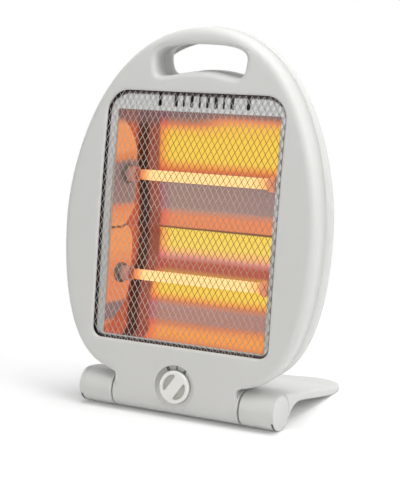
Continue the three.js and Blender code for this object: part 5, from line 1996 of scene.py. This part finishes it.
slit_shadow_strip("slit_shadow_left", -1)
slit_shadow_strip("slit_shadow_right", 1)
hub_cap("hub_end_left", -1, "hub_cap_left")
hub_cap("hub_end_right", 1, "hub_cap_right")

# %% [markdown]
# ## CAD nodes that are right as they are
# Screws, pins, feet and the small inner parts keep their CAD shapes and only get their materials.

# %% Materials of the carried-over nodes
KEPT = {
    zinc_steel: ["switch_shaft", "hinge_pin_left", "hinge_pin_right"],
    black_nylon: ["selector_switch", "tilt_switch", "friction_washer_left", "friction_washer_right"],
    plain_brass: ["thermal_cutout", "tilt_pendulum"],
    natural_nylon: ["terminal_block"],
    housing_abs: ["cord_grommet"],
    foot_rubber: ["foot_front_left", "foot_front_right", "foot_rear_left", "foot_rear_right"],
}
KEPT[zinc_steel] += [f"shell_screw_{i}" for i in range(1, 7)]
for material, names in KEPT.items():
    for name in names:
        cad[name].data.materials.clear()
        cad[name].data.materials.append(material)
print("kept", sum(len(names) for names in KEPT.values()), "CAD nodes")

# %% [markdown]
# ## Floor, backdrop and light
# The photograph is a cut-out on white with a soft shadow. A big pale floor catches the shadow, and the world
# is white to the camera and to reflections. The lamps are large and weak, so that colours come out about as
# they are written.

# %% Stage
FLOOR_LIFT = 0.09
FLOOR_REACH = 6.0
FADE_FROM, FADE_TO = 0.26, 0.5
AMBIENT = 0.44


def stage_floor():
    mesh = bpy.data.meshes.new("floor")
    corners = [(x * FLOOR_REACH, y * FLOOR_REACH, 0) for x, y in ((-1, -1), (1, -1), (1, 1), (-1, 1))]
    mesh.from_pydata(corners, [], [(0, 1, 2, 3)])
    floor = new_object("floor", mesh)
    material, tree, place, output = new_material("white_paper_floor")
    paper = add_node(tree, "ShaderNodeTexNoise", {"Vector": place, "Scale": 3.0})
    shade = add_node(tree, "ShaderNodeMix", {"Factor": paper.outputs["Fac"]}, data_type="RGBA")
    shade.inputs["A"].default_value = linear("#F4F4F4")
    shade.inputs["B"].default_value = linear("#F2F2F2")
    matt = add_node(tree, "ShaderNodeBsdfDiffuse", {"Color": shade.outputs["Result"]})
    rays = add_node(tree, "ShaderNodeLightPath").outputs["Is Camera Ray"]
    lift = add_node(tree, "ShaderNodeMath", {0: rays, 1: FLOOR_LIFT}, operation="MULTIPLY")
    glow = add_node(tree, "ShaderNodeEmission", {"Strength": lift.outputs[0]})
    near = add_node(tree, "ShaderNodeAddShader", {0: matt.outputs[0], 1: glow.outputs[0]})
    away = add_node(tree, "ShaderNodeVectorMath", {0: place}, operation="LENGTH")
    far = add_node(
        tree,
        "ShaderNodeMapRange",
        {"Value": away.outputs["Value"], "From Min": FADE_FROM, "From Max": FADE_TO},
        interpolation_type="SMOOTHSTEP",
    )
    share = add_node(tree, "ShaderNodeMath", {0: far.outputs["Result"], 1: rays}, operation="MULTIPLY")
    white = add_node(tree, "ShaderNodeEmission", {"Strength": 1.0})
    both = add_node(
        tree,
        "ShaderNodeMixShader",
        {"Fac": share.outputs[0], 1: near.outputs[0], 2: white.outputs[0]},
    )
    tree.links.new(both.outputs[0], output.inputs["Surface"])
    mesh.materials.append(material)


def studio_world():
    world = bpy.data.worlds.new("studio")
    bpy.context.scene.world = world
    world.use_nodes = True
    tree = world.node_tree
    tree.nodes.clear()
    rays = add_node(tree, "ShaderNodeLightPath").outputs
    seen = add_node(
        tree,
        "ShaderNodeMath",
        {0: rays["Is Camera Ray"], 1: rays["Is Glossy Ray"]},
        operation="MAXIMUM",
    )
    strength = add_node(
        tree,
        "ShaderNodeMapRange",
        {"Value": seen.outputs[0], "To Min": AMBIENT, "To Max": 1.0},
    )
    sky = add_node(
        tree,
        "ShaderNodeBackground",
        {"Color": (1, 1, 1, 1), "Strength": strength.outputs["Result"]},
    )
    add_node(tree, "ShaderNodeOutputWorld", {"Surface": sky.outputs[0]})


def lamp(name, place, aim_at, size, watts):
    """A square lamp at a place in metres, turned to what it lights."""
    data = bpy.data.lights.new(name, "AREA")
    data.size = size
    data.energy = watts
    light = new_object(name, data)
    light.location = place
    towards = Vector(aim_at) - Vector(place)
    light.rotation_euler = towards.to_track_quat("-Z", "Y").to_euler()


stage_floor()
studio_world()
lamp("soft_top", (0.3, 0.1, 2.2), (0, 0, 0.1), 1.6, 31)
lamp("soft_right", (1.7, -0.2, 1.25), (0, 0, 0.2), 1.3, 15.5)
lamp("soft_front", (-0.9, -2.0, 1.2), (0, 0, 0.2), 1.4, 4.2)
bpy.context.scene.view_settings.view_transform = "Standard"
